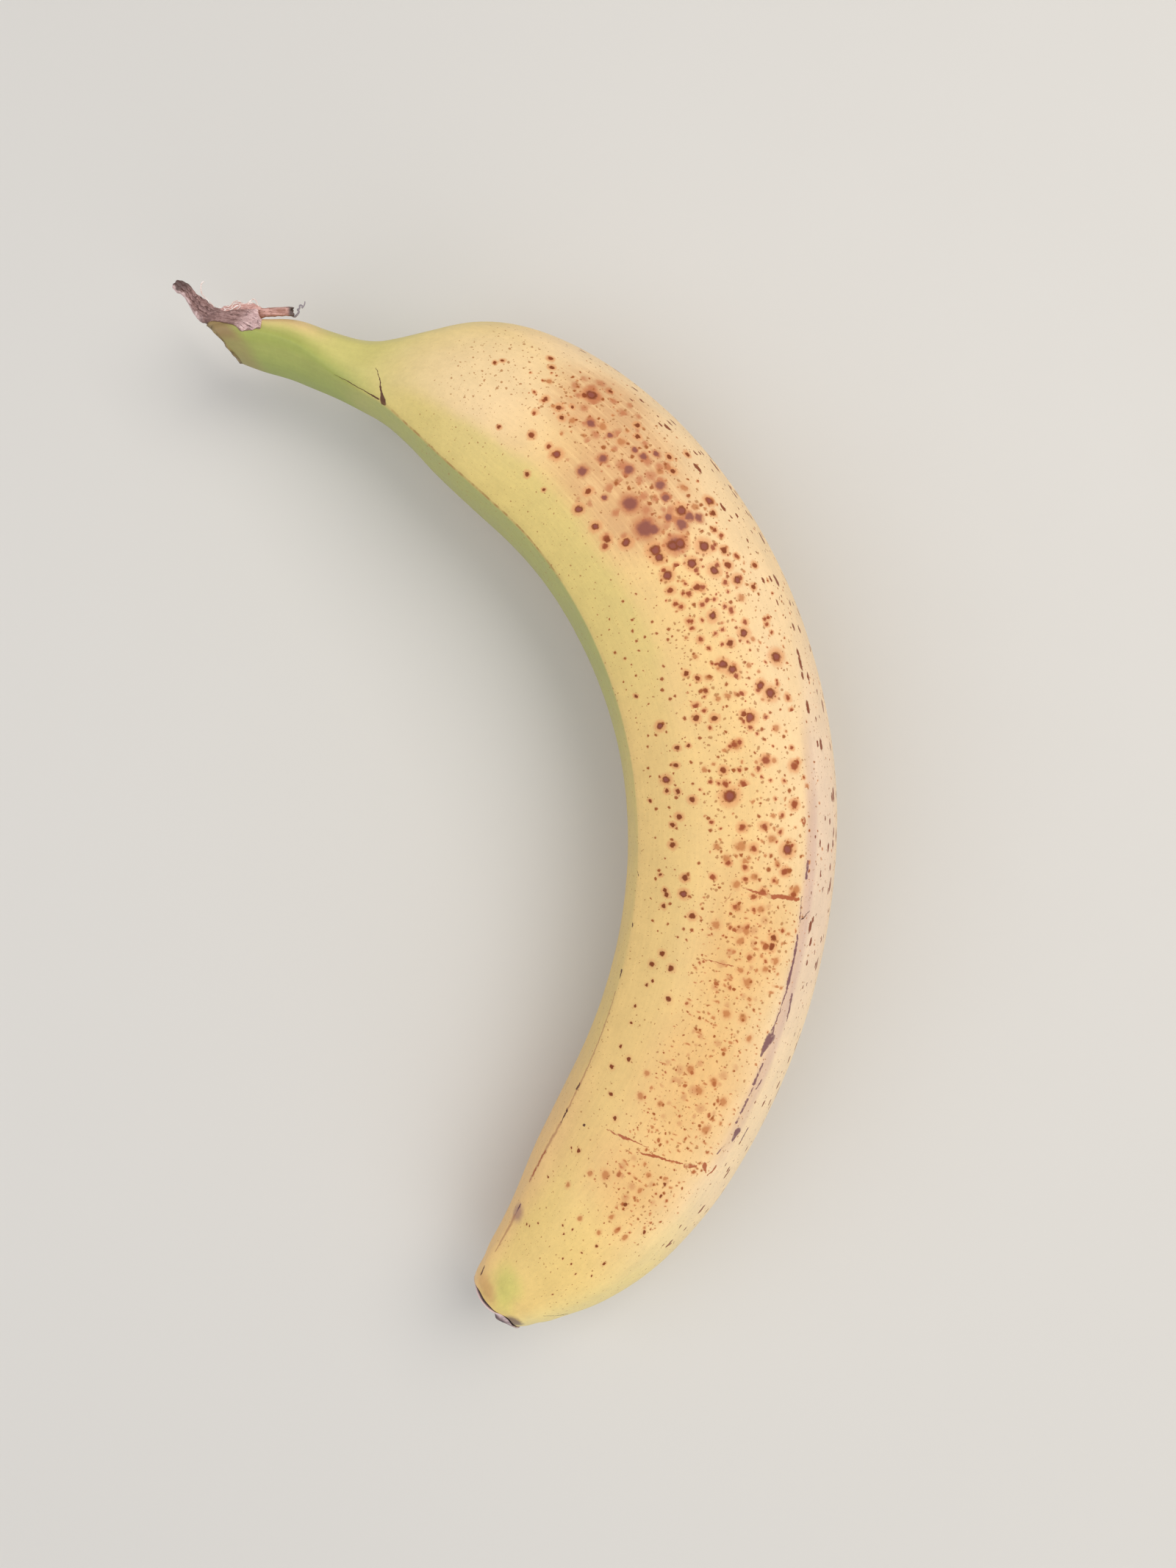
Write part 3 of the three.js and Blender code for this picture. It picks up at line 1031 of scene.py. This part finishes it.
# bruise-like spots with soft edges
softSpots = {
    0.6: [(41.3, 15), (36.7, -10)],
    0.7: [(38.7, 19), (37.2, 27)],
    0.8: [(37.7, 20), (33.2, 15)],
    0.9: [(43.4, 13), (31.4, 10), (30, 24)],
    1.0: [(39.9, 3), (34.5, 17), (30.5, 20)],
    1.1: [(40.3, -9), (37.5, 9)],
    1.2: [(31.2, 0), (30.2, 14)],
    1.3: [(45.5, 27)],
    1.6: [(28.8, 6)],
    1.7: [(34.6, -2)],
    2.0: [(31.7, -3)],
}
# streaks: turn and degrees from the top at one end and the other, and half widths there
streaks = {
    "purple": [
        (-3.1, 35, -4.6, 35, 0.22, 0.28), (-6.3, 33, -8.7, 34, 0.07, 0.07),
        (-9.8, 34, -11.8, 34.5, 0.18, 0.22), (-11.8, 34.5, -14.3, 34, 0.18, 0.28),
        (-14.3, 34, -16.3, 34, 0.2, 0.09), (-16.5, 33.5, -18.4, 33, 0.09, 0.1),
        (-18.3, 33, -19.4, 33, 0.1, 0.75), (-19.4, 33, -21.1, 31, 0.85, 0.25),
        (-21.9, 34, -22.6, 34, 0.15, 0.2), (-22.8, 34, -23.8, 33.5, 0.22, 0.3),
        (-24.2, 34, -25.0, 34, 0.12, 0.12), (-25.4, 34, -26.6, 34, 0.2, 0.3),
        (-27.3, 34, -27.7, 34, 0.2, 0.2), (-28.5, 38.5, -29.3, 38, 0.7, 0.3),
        (-15.2, 39.5, -17.6, 42, 0.25, 0.15), (-28.1, 47, -29.2, 47, 0.2, 0.15),
        (-30.1, 34, -31.0, 32.5, 0.15, 0.1), (-23.4, 38, -24.2, 37, 0.2, 0.1),
        (-48.8, -58, -50.2, -58, 0.24, 0.12),
    ],
    "redBrown": [
        (-6.0, 0, -6.5, 14, 0.06, 0.3), (-6.5, 14, -6.6, 31, 0.36, 0.26),
        (-35.0, -30, -34.4, -18, 0.1, 0.24), (-34.4, -18, -33.8, -5, 0.18, 0.05),
        (-34.9, -9, -34.2, 1, 0.06, 0.24), (-34.2, 1, -33.3, 17, 0.2, 0.08),
        (-33.3, 19, -32.9, 25, 0.36, 0.2), (-32.5, 29, -33.0, 32, 0.4, 0.1),
        (-32.2, 37, -33.2, 35, 0.25, 0.1), (-13.8, -15, -13.8, 2, 0.05, 0.07),
        (-7.7, -8, -6.6, -5, 0.16, 0.06), (-42.2, -59.5, -44.0, -59.5, 0.15, 0.28),
        (-44.5, -60, -46.2, -60, 0.3, 0.1), (0.7, 31.5, 0.3, 32, 0.3, 0.26),
    ],
    "faint": [
        (-38.2, -59, -46.0, -60, 0.3, 0.4), (-21, -61, -36.6, -59, 0.14, 0.2),
        (-50.4, -58, -54.5, -57, 0.5, 0.2),
    ],
    "crack": [
        (67.4, -5, 66.4, -21, 0.05, 0.09), (66.4, -21, 65.8, -33, 0.08, 0.18),
        (65.8, -33, 64.9, -46, 0.18, 0.72), (72.2, -30, 70.2, -32.5, 0.05, 0.14),
        (70.3, -32, 68.4, -37, 0.16, 0.13), (68.6, -36.5, 67.2, -40, 0.12, 0.18),
        (67.2, -40, 65.8, -43.5, 0.16, 0.34), (-18.2, -61, -19.3, -61, 0.24, 0.06),
        (-56.9, -61, -57.4, -59.5, 0.3, 0.36), (-52.9, 51, -52.5, 55, 0.2, 0.14),
        (-54.1, 34, -52.9, 51, 0.04, 0.1), (-48.9, -58.5, -49.3, -58.5, 0.1, 0.12),
        (-12.2, -60, -12.7, -60, 0.18, 0.1), (-33.0, -60, -33.9, -60, 0.1, 0.25),
        (-36.5, -59, -38.2, -59, 0.25, 0.08), (-7.7, 40, -8.4, 35, 0.05, 0.09),
        (-5.7, -60.5, -6.3, -59, 0.05, 0.1), (-36.3, -44, -36.5, -44, 0.2, 0.2),
    ],
}
# freckles strewn over the fruit, by kind: distance between, largest radius, share of places
# bare, and how much longer than wide
freckles = {
    "rust": [(3.3, 0.58, 0.4, 1.0), (2.4, 0.42, 0.4, 1.0)],
    "brown": [(1.9, 0.34, 0.32, 1.0)],
    "tan": [(3.6, 0.70, 0.4, 1.0), (2.1, 0.36, 0.4, 1.0)],
    "dash": [(2.7, 0.74, 0.5, 0.42), (1.8, 0.44, 0.35, 0.5)],
    "blur": [(2.0, 0.92, 0.2, 1.0)],
    "dot": [(1.3, 0.28, 0.15, 1.0), (0.8, 0.15, 0.2, 1.0)],
    "fleck": [(2.8, 0.52, 0.2, 2.2), (1.7, 0.34, 0.2, 2.0)],
}
layerShift = Vector((7.3, 3.1, 0))  # in distances between, so that no two layers line up
leastFreckle = 0.02  # where it's bare, so that nothing is divided by 0


def alongAt(turn):
    return (middleLine[0][0] - turn) * alongPerTurn


def onSkin(turn, side):
    return Vector((alongAt(turn), math.radians(side) * girth, 0))


class Peel:
    # places on the peel: side is in degrees from the top towards the outer side, along and
    # fromTorn in millimetres
    def __init__(self, f):
        self.f = f
        self.straight = f.held("straight", "Vector")
        self.along, aside, up = f.parts(self.straight)
        fromTop = f.maths("ARCTAN2", aside, up)
        self.side = f.times(fromTop, math.degrees(1))
        self.dry = f.held("dry")
        self.innerGap = f.held("innerUpper")
        self.outerGap = f.held("outerUpper")
        stretched = f.stretch(self.straight, grain["wanderStretch"])
        self.wander = f.plus(f.clouds(stretched, grain["wanderSize"], 3.0), -0.5)
        self.wandered = f.plus(self.along, f.times(self.wander, grain["wanderAlong"]))
        self.sideWandered = f.plus(self.side, f.times(self.wander, grain["wanderRound"]))
        self.warped = f.vector(self.along, f.times(fromTop, girth))
        for size, reach in grain["warps"]:
            self.warped = f.shift(self.warped, f.drift(self.straight, size, reach))
        stretched = f.stretch(self.straight, grain["fibreStretch"])
        self.fibres = f.clouds(stretched, grain["fibreSize"], 3.0, 0.6)
        self.mottle = f.clouds(self.straight, grain["mottleSize"], 4.0, 0.6)
        torn = f.plus(self.along, f.times(aside, grain["tornSlant"]))
        torn = f.times(torn, grain["tornShare"])
        self.fromTorn = f.plus(torn, f.times(self.wander, grain["tornWander"]))

    def fromTurn(self, start, end, low=0.0, high=1.0):
        # from low to high as the wandering place along goes from one turn to another
        return self.f.ease(self.wandered, alongAt(start), alongAt(end), low, high)

    def betweenTurns(self, start, end, soft):
        # 1 between two turns, fading over soft
        return self.f.between(self.wandered, alongAt(start), alongAt(end), soft)

    def patch(self, turn, side, length, width, soft=0.5):
        # 1 in an oval patch this many millimetres long and wide, fading past its edge
        scale = Vector((2 / length, 2 / width, 0))
        place = self.f.stretch(self.warped, scale)
        distance = self.f.apart(place, onSkin(turn, side) * scale)
        return self.f.ease(self.f.plus(distance, self.wander), 1 + soft, 1 - soft)


def layGround(f, p):
    # green stem, painted lighter on top and darker on its inner side as light and shade,
    # yellow-green neck, yellow body with gold sides and a peach side partly painted sheen, green at
    # the tip
    # painted shade and light: the stem darkens towards its inner, lower side, and its top is
    # painted a lighter, lit green
    f.surface = f.blend(f.ease(p.side, -20, -75), "stem", "stemShaded")
    f.cover("stemLit", f.ease(p.innerGap, 0.5, -3.5), f.ease(p.side, 112, 70))
    f.cover("stemWarm", f.ease(p.side, -5, 30), f.ease(p.fromTorn, 11, 6), 0.8)
    f.cover("stemTan", f.ease(p.side, 8, 38), f.ease(p.fromTorn, 19, 12), 0.7)
    f.cover("dried", f.ease(p.fromTorn, 3.9, 1.3))
    f.cover("neck", p.fromTurn(72, 61))
    f.cover("yellow", p.fromTurn(64, 48))
    f.cover("gold", f.ease(p.sideWandered, 0, -40), p.fromTurn(60, 40, 0, 0.7))
    # painted sheen: the outer upper side, and a patch near the top, are painted a paler peach,
    # partly the peel's own tone and partly painted light
    peachAndSheen = f.times(f.ease(p.sideWandered, 0, 45), p.fromTurn(62, 50, 0, 0.85))
    f.cover("peachAndSheen", f.most(peachAndSheen, f.times(p.patch(55, 2, 26, 24, 0.8), 0.7)))
    band = f.times(f.between(p.sideWandered, -62, -27, 12), p.fromTurn(30, 5, 1, 0))
    f.cover("greenish", band, p.fromTurn(68, 58, 0, 0.75))

    # beyond the inner ridge, with painted shade, underneath, and along the outer ridge, with
    # painted sheen
    # painted shade: the inner face beyond the inner ridge is painted a darker grey-green, partly
    # its own greener colour and partly shade
    beyond = f.times(f.ease(p.innerGap, -0.25, 0.45), p.fromTurn(70, 64, 0.5, 1))
    beyond = f.times(beyond, f.ease(p.side, -165, -122), f.ease(p.side, -8, -30))
    f.cover("innerGreenAndShade", beyond, p.fromTurn(26, -12, 0.95, 0.2))
    f.cover("under", f.ease(f.unsigned(p.side), 100, 130), p.fromTurn(62, 50, 0, 0.7))
    # painted sheen: the outer face past the outer ridge is painted a paler pinkish tone, partly its
    # own colour and partly sheen
    lavenderAndSheen = f.times(f.ease(p.outerGap, 1.5, -2.5), f.ease(p.outerGap, -16, -7))
    f.cover("lavenderAndSheen", lavenderAndSheen, p.fromTurn(24, 2, 0, 0.75), p.fromTurn(-14, -32, 1, 0))
    # painted sheen: the outer side towards the tip is painted a pale, whitish tone where the light
    # catches it
    pale = f.times(f.ease(p.sideWandered, 26, 50), p.fromTurn(-8, -24, 0, 0.8))
    f.cover("pale", pale, f.ease(p.sideWandered, 100, 80))
    f.cover("mauve", f.between(p.outerGap, -1.8, 0.7, 1.5), p.betweenTurns(5, -30, 24), 0.5)

    # towards the tip, with both sides painted lighter, partly as painted light
    f.cover("tipGold", p.fromTurn(-36, -50, 0, 0.9))
    # painted light: the tip's inner and outer sides are painted lighter and warmer, partly their
    # own tone and partly light
    f.cover("innerTipAndLight", f.ease(p.sideWandered, -40, -62), p.fromTurn(-24, -40, 0, 0.85))
    f.cover("outerTipAndLight", f.ease(p.sideWandered, 16, 48), p.fromTurn(-33, -52, 0, 0.85))
    f.cover("green", p.patch(-55.3, -20, 5, 11, 0.7), 0.6)
    f.cover("green", p.patch(-57.0, -4, 3.4, 12, 0.7), 0.4)
    f.cover("tipBrown", p.patch(-57.7, -38, 2.4, 12, 0.7), 0.6)
    f.cover("tipPurple", p.patch(-49.7, -57, 2.8, 3.6, 0.6), 0.7)
    f.cover("scarPurple", p.patch(-57.2, 34, 2.6, 10, 0.4), 0.85)


def spotted(f, place, marks):
    # how far a place is from the nearest of these spots, 1 being a spot's edge
    def ofRadius(radius, middles):
        nearest = f.least(f.apart(place, onSkin(*middle)) for middle in middles)
        return f.times(nearest, 1 / radius)

    return f.least(ofRadius(*group) for group in marks.items())


def streaked(f, place, marks):
    # how far a place is from the nearest of these streaks, 1 being a streak's edge
    def fromStreak(turn, side, endTurn, endSide, width, endWidth):
        start, end = onSkin(turn, side), onSkin(endTurn, endSide)
        way = end - start
        ahead = way / way.length_squared
        feeds = {0: f.vectors("DOT_PRODUCT", place, ahead, "Value"), 1: start.dot(ahead)}
        share = f.node("Math", feeds, operation="SUBTRACT", use_clamp=True).outputs[0]
        reached = f.node("VectorMath", {0: way, "Scale": share}, operation="SCALE").outputs[0]
        nearest = f.shift(reached, start)
        halfWidth = f.maths("MULTIPLY_ADD", share, endWidth - width, width)
        return f.maths("DIVIDE", f.apart(place, nearest), halfWidth)

    return f.least(fromStreak(*mark) for mark in marks)


def strewn(f, p, kind, where):
    # freckles of one kind: how far a place is from the nearest, 1 being its edge
    def layer(pitch, largest, bare, longer):
        moved = f.shift(p.warped, layerShift * pitch)
        feeds = {"Vector": f.stretch(moved, (1 / longer, 1, 1)), "Scale": 1 / pitch}
        cells = f.node("TexVoronoi", feeds, voronoi_dimensions="2D").outputs
        chance = f.node("SeparateColor", {0: cells["Color"]}).outputs[0]
        radius = f.ease(f.times(chance, where), bare, 1.0, 0.0, largest)
        distance = f.times(cells["Distance"], pitch)
        return f.maths("DIVIDE", distance, f.most(radius, leastFreckle))

    return f.least(layer(*strewing) for strewing in freckles[kind])


def makePeelFinish():
    f = Finish("ripe_peel", peelLook)
    p = Peel(f)
    layGround(f, p)

    # the bruised patch, with paler fibres through it, and the tan haze lower down
    bruise = f.most(p.patch(43.5, 24, 15, 13), p.patch(33.5, 1, 14, 16), p.patch(38, 8, 19, 17))
    f.cover(f.blend(f.ease(p.fibres, 0.45, 0.7), "haze", "fibre"), bruise, 0.75)
    tanHaze = f.most(
        p.patch(-12, 4, 24, 12, 0.7), p.patch(-26, 4, 24, 16, 0.7), p.patch(-38, -2, 12, 16, 0.8)
    )
    f.cover("tanHaze", tanHaze, 0.6)

    # lengthwise fibres, slow mottling and fine speckles in the ground
    shade = f.vary(p.fibres, -0.025, 0.02)
    shade = f.plus(shade, f.vary(p.mottle, -0.035, 0.035))
    speckles = f.clouds(p.straight, grain["speckleSize"], 2.0, 0.6)
    shade = f.plus(shade, f.vary(speckles, -0.02, 0.02))
    feeds = {"Color": f.surface, "Value": f.plus(shade, 1.0)}
    ground = f.surface = f.node("HueSaturation", feeds).outputs[0]

    # where freckles may be: the upper side and the outer edge, and fewer on the inner side
    lengthwise = p.betweenTurns(53, -46, 20)
    fromInner = f.maths("SUBTRACT", p.side, p.fromTurn(44, 10, -6, -26))
    upper = f.times(f.ease(fromInner, -12, 12), f.ease(p.side, 112, 80))
    upper = f.times(upper, f.ease(p.sideWandered, 22, 46, 1.0, 0.66))
    freckled = f.times(lengthwise, upper, f.ease(p.mottle, 0.25, 0.6, 0.8, 1.0))
    freckled = f.times(freckled, p.fromTurn(-2, -20, 1, 0.84))
    crowded = f.times(freckled, f.plus(1.0, f.times(bruise, -0.4)))
    edge = f.times(f.ease(p.side, 32, 46), lengthwise, f.ease(p.mottle, 0.25, 0.55, 0.6, 1.0))
    edge = f.times(edge, f.ease(p.side, 74, 104, 1.0, 0.4), p.fromTurn(-22, -36, 1, 0.8))
    sparse = f.most(freckled, f.times(p.betweenTurns(60, -56, 8), 0.62))
    sparse = f.most(sparse, f.times(p.patch(55, 12, 17, 24, 0.6), 0.85))

    def placed(name, marks, build=spotted):
        return f.grouped(name, p.warped, lambda inside, place: build(inside, place, marks))

    def dab(kind, distance, *shares, tone=None):
        # lays one kind of mark over the surface, by how far its nearest is
        start, whole, strength = fades[kind]
        f.cover(tone or kind, f.ease(distance, start, whole), *shares, strength)

    # spots and freckles, from the paler to the darker
    spot = placed("dark_spots", darkSpots)
    rust = f.least([placed("rust_spots", rustSpots), strewn(f, p, "rust", crowded)])
    innerBand = f.times(p.betweenTurns(28, -16, 14), f.ease(p.side, -60, -48))
    innerBand = f.times(innerBand, f.ease(p.side, 20, -10, 0.0, 0.88))
    brown = strewn(f, p, "brown", f.most(freckled, innerBand))
    tan = f.least([placed("tan_spots", tanSpots), strewn(f, p, "tan", freckled)])
    dashed = f.times(freckled, p.fromTurn(0, -12))
    tan = f.least([tan, strewn(f, p, "dash", dashed)])
    dab("halo", f.least([spot, rust]), p.fromTurn(-4, -22, 0.75, 0.3), tone="spotHalo")
    dab("paleHalo", f.least([tan, brown]), tone="spotHalo")
    dab("tan", tan)
    blur = strewn(f, p, "blur", f.most(bruise, f.times(tanHaze, 0.85)))
    blurred = f.most(f.times(bruise, 0.85), f.times(tanHaze, 0.5))
    dab("blur", blur, blurred, tone="softSpot")
    dab("dot", strewn(f, p, "dot", sparse))
    dab("brown", brown)
    dab("rust", rust, tone=f.blend(p.fromTurn(-2, -18, 0, 0.6), "rust", "tan"))
    soft = placed("soft_spots", softSpots)
    dab("softSpot", soft)
    dab("softMiddle", soft)
    large = {radius: middles for radius, middles in darkSpots.items() if radius >= deepSpotsFrom}
    deep = placed("deep_spots", large)
    rusty = f.times(f.ease(p.mottle, 0.42, 0.66, 0.0, 0.7), p.fromTurn(-2, -22, 1, 0))
    rusty = f.times(rusty, f.ease(p.side, -32, -6, 0.15, 1.0))
    dab("spotEdge", spot, tone=f.blend(rusty, "spotEdge", "rust"))
    dab("spotMiddle", deep)
    dab("fleck", strewn(f, p, "fleck", edge))

    # the streaks, some of them ragged, and the thin brown line along the inner ridge
    dab("faint", placed("faint_streaks", streaks["faint"], streaked))
    ragged = f.ease(f.clouds(p.straight, 1.1), 0.32, 0.5, 0.25, 0.95)
    dab("purple", placed("purple_streaks", streaks["purple"], streaked), ragged)
    dab("redBrown", placed("redBrown_streaks", streaks["redBrown"], streaked), ragged)
    dab("crack", placed("crack_streaks", streaks["crack"], streaked))
    fromLine = f.unsigned(f.plus(p.innerGap, f.times(p.wander, 1.2)))
    broken = f.ease(f.clouds(f.vector(p.along), 2.4, 2.0, 0.6), 0.42, 0.58, 0.25, 0.85)
    lengthwise = f.between(p.along, alongAt(64), alongAt(33), 8)
    f.cover("ridgeLine", f.ease(fromLine, 0.34, 0.1), broken, lengthwise)

    # the dried ends have none of these marks
    f.surface = f.mix(f.ease(p.dry, 0.1, 0.0), ground, f.surface)
    blotch = f.clouds(p.straight, grain["blotchSize"], 3.0, 0.65)
    lighter = f.ease(blotch, 0.38, 0.6)
    tornEnd = f.blend(lighter, "tornDark", "torn")
    scarEnd = f.blend(lighter, "scarDark", "scar")
    f.cover(f.mix(f.ease(p.along, 40, 60, 1.0, 0.0), scarEnd, tornEnd), p.dry)

    roughness = f.vary(p.mottle, *grain["roughness"])
    roughness = f.ease(spot, 1.2, 0.7, roughness, grain["spotRoughness"])
    pores = f.clouds(p.straight, grain["poreSize"])
    f.bump(p.fibres, grain["fibreDepth"])
    f.bump(pores, grain["poreDepth"])
    f.bump(f.times(blotch, p.dry), grain["blotchDepth"])
    cracks = placed("deep_cracks", streaks["crack"][:deepCracks], streaked)
    f.bump(f.ease(f.least([deep, cracks]), 0.6, 1.2), grain["pitDepth"])
    return f.done(grain["gloss"], roughness)


peelPiece.data.materials.append(makePeelFinish())
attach(peelPiece, "root")
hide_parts("banana")
print("peel finished")


# the dried pieces: their two main colours, the lines along them, and their ends and edges
driedLooks = {
    "crown_rag": {
        "light": (174, 140, 134), "dark": (128, 96, 90), "line": (80, 52, 48),
        "start": (96, 80, 76), "startLength": 4.6, "edge": (220, 190, 186),
        "edgeTo": 9.4, "shadedUnderEdge": (122, 92, 80), "shadedCreases": (-0.25, 0.3),
        "flap": (204, 168, 166), "flapLight": (236, 204, 200), "flapFrom": 15.0,
    },
    "crown_fray": {
        "light": (226, 184, 174), "dark": (196, 148, 138), "line": (130, 84, 74),
        "edge": (240, 214, 206), "edgeTo": 99,
    },
    "crown_splinter": {
        "light": (214, 168, 156), "dark": (170, 124, 110), "line": (112, 76, 66),
        "end": (104, 88, 84), "endFrom": 5.7,
    },
}
driedGrain = {
    "gloss": 0.3,
    "roughness": (0.6, 0.8),
    "driftSize": 1.5,
    "driftReach": 0.5,
    "fibreStretch": (0.16, 1, 0),
    "fibreSize": 0.34,
    "fibreDepth": 0.10,
    "lineStretch": (0.09, 1, 0),
    "lineSize": 0.42,
    "lineWidths": (0.035, 0.012),
    "blotchSize": 0.9,
    "poreSize": 0.3,
    "poreDepth": 0.07,
}


def makeDriedFinish(name):
    # grain and lines run along the strip, and blotches lie over both
    f = Finish("dried_" + name, driedLooks[name])
    look = f.look
    strip = f.held("strip", "Vector")
    along, _, share = f.parts(strip)
    place = f.placeInside()
    drift = f.drift(place, driedGrain["driftSize"], driedGrain["driftReach"])
    drifted = f.shift(strip, drift)
    fibres = f.stretch(drifted, driedGrain["fibreStretch"])
    fibres = f.clouds(fibres, driedGrain["fibreSize"], 3.0, 0.6)
    blotch = f.clouds(place, driedGrain["blotchSize"], 3.0, 0.65)
    both = f.plus(f.times(fibres, 0.5), f.times(blotch, 0.5))
    f.surface = f.blend(f.ease(both, 0.42, 0.58), "dark", "light")
    if "flap" in look:
        patchy = f.ease(f.clouds(place, 0.45, 3.0, 0.6), 0.38, 0.66)
        onFlap = f.ease(along, look["flapFrom"] - 1.5, look["flapFrom"] + 1)
        f.cover(f.blend(patchy, "flap", "flapLight"), onFlap, 0.85)
    if "start" in look:
        length = look["startLength"]
        fromStart = f.plus(along, f.times(blotch, 2.0))
        f.cover("start", f.ease(fromStart, length, length - 2.5), 0.85)
    lines = f.clouds(f.stretch(drifted, driedGrain["lineStretch"]), driedGrain["lineSize"])
    lines = f.ease(f.unsigned(f.plus(lines, -0.5)), *driedGrain["lineWidths"])
    f.cover("line", lines, f.ease(blotch, 0.45, 0.6, 0.1, 0.85))
    if "edge" in look:
        margin = f.plus(share, f.vary(f.clouds(place, 0.8), -0.15, 0.15))
        onMargin = f.times(f.ease(margin, -0.60, -0.84), f.ease(both, 0.40, 0.58, 0.6, 1.0))
        f.cover("edge", onMargin, f.ease(along, look["edgeTo"], look["edgeTo"] - 2))
    # painted shade: a darker line along one edge of the flap end, its lower edge
    if "shadedUnderEdge" in look:
        f.cover("shadedUnderEdge", f.ease(margin, -0.80, -0.94), f.ease(along, 9.5, 12), 0.8)
        # painted shade: dark lines along two lengthwise folds of the tail, where shade falls in the
        # creases
        for crease in look["shadedCreases"]:
            fromShadedCrease = f.plus(share, f.vary(blotch, -0.2 - crease, 0.2 - crease))
            fromShadedCrease = f.ease(f.unsigned(fromShadedCrease), 0.13, 0.05)
            f.cover("line", fromShadedCrease, f.ease(along, 11, 7), 0.75)
    if "end" in look:
        f.cover("end", f.ease(along, look["endFrom"], look["endFrom"] + 0.6))
    f.bump(fibres, driedGrain["fibreDepth"])
    f.bump(f.clouds(place, driedGrain["poreSize"], 3.0), driedGrain["poreDepth"])
    return f.done(driedGrain["gloss"], f.vary(fibres, *driedGrain["roughness"]))


plainGloss = 0.5
lipLook = {
    "dark": (84, 66, 74), "light": (116, 92, 92), "pale": (214, 190, 188), "blotchSize": 0.8,
    "roughness": (0.55, 0.75), "pores": (0.35, 3.0), "poreDepth": 0.05,
}
fibreLook = {
    "dark": (226, 196, 184), "light": (246, 236, 230), "grey": (146, 136, 142), "blotchSize": 0.7,
    "roughness": (0.5, 0.7), "pores": (0.2, 2.0), "poreDepth": 0.03,
    "greyFrom": -39, "greyTo": -36,  # from left to right, where they turn grey
}


def startBlotched(name, look):
    # blotched from dark to light, with fine pores
    f = Finish(name, look)
    place = f.placeInside()
    blotch = f.clouds(place, look["blotchSize"], 3.0, 0.6)
    f.surface = f.blend(f.ease(blotch, 0.4, 0.6), "dark", "light")
    f.bump(f.clouds(place, *look["pores"]), look["poreDepth"])
    return f, place, blotch


def makeLipFinish():
    # pale where it has curled away, purple-brown where it lies against the scar
    f, _, blotch = startBlotched("curled_lip", lipLook)
    away = f.ease(f.plus(f.held("curled"), blotch), 0.35, 0.75, 0.35, 1.0)
    f.cover("pale", f.ease(f.held("rim"), 0.72, 0.95), away)
    return f.done(plainGloss, f.vary(blotch, *lipLook["roughness"]))


def makeFibreFinish():
    # grey on the curl past the splinter's end
    f, place, blotch = startBlotched("loose_fibres", fibreLook)
    f.cover("grey", f.ease(f.parts(place)[0], fibreLook["greyFrom"], fibreLook["greyTo"]))
    return f.done(plainGloss, f.vary(blotch, *fibreLook["roughness"]))


driedPieces = [
    (ragPiece, makeDriedFinish("crown_rag")), (frayPiece, makeDriedFinish("crown_fray")),
    (splinterPiece, makeDriedFinish("crown_splinter")), (fibresPiece, makeFibreFinish()),
    (lipPiece, makeLipFinish()),
]
for piece, finish in driedPieces:
    piece.data.materials.append(finish)
    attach(piece, "root")
    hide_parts("banana")
print("dried pieces finished")


stage = {
    "floorSize": 1.6,
    "floor": colour(214, 211, 205),
    "floorRoughness": (0.75, 0.85),
    "world": colour(235, 238, 242),
    "worldStrength": 0.45,
    "lamps": [  # place, side, watts, colour
        ((0.34, 0.22, 0.57), 0.50, 2.68, colour(255, 250, 244)),
        ((-0.40, -0.05, 0.52), 0.60, 1.7, colour(250, 250, 255)),
        ((0.26, -0.42, 0.30), 0.40, 0.6, colour(255, 251, 246)),
    ],
}


def layFloor():
    startAlone()
    bpy.ops.mesh.primitive_plane_add(size=stage["floorSize"], location=(0, 0, 0))
    floor = bpy.context.object
    floor.name = "floor"
    f = Finish("pale_floor", stage)
    f.surface = stage["floor"]
    blotch = f.clouds(f.node("TexCoord", {}).outputs["Object"], 0.02, 3.0)
    floor.data.materials.append(f.done(plainGloss, f.vary(blotch, *stage["floorRoughness"])))


def hangLamps():
    for k, (place, side, watts, tone) in enumerate(stage["lamps"]):
        lamp = bpy.data.objects.new(f"lamp_{k}", bpy.data.lights.new(f"lamp_{k}", "AREA"))
        bpy.context.scene.collection.objects.link(lamp)
        lamp.location = place
        lamp.rotation_euler = (-Vector(place)).to_track_quat("-Z", "Y").to_euler()
        lamp.data.size = side
        lamp.data.energy = watts
        lamp.data.color = tone[:3]
    world = bpy.data.worlds.new("pale_room")
    bpy.context.scene.world = world
    world.use_nodes = True
    background = world.node_tree.nodes["Background"].inputs
    background["Color"].default_value = stage["world"]
    background["Strength"].default_value = stage["worldStrength"]


layFloor()
hangLamps()
bpy.context.scene.view_settings.view_transform = "Standard"
print("stage set")
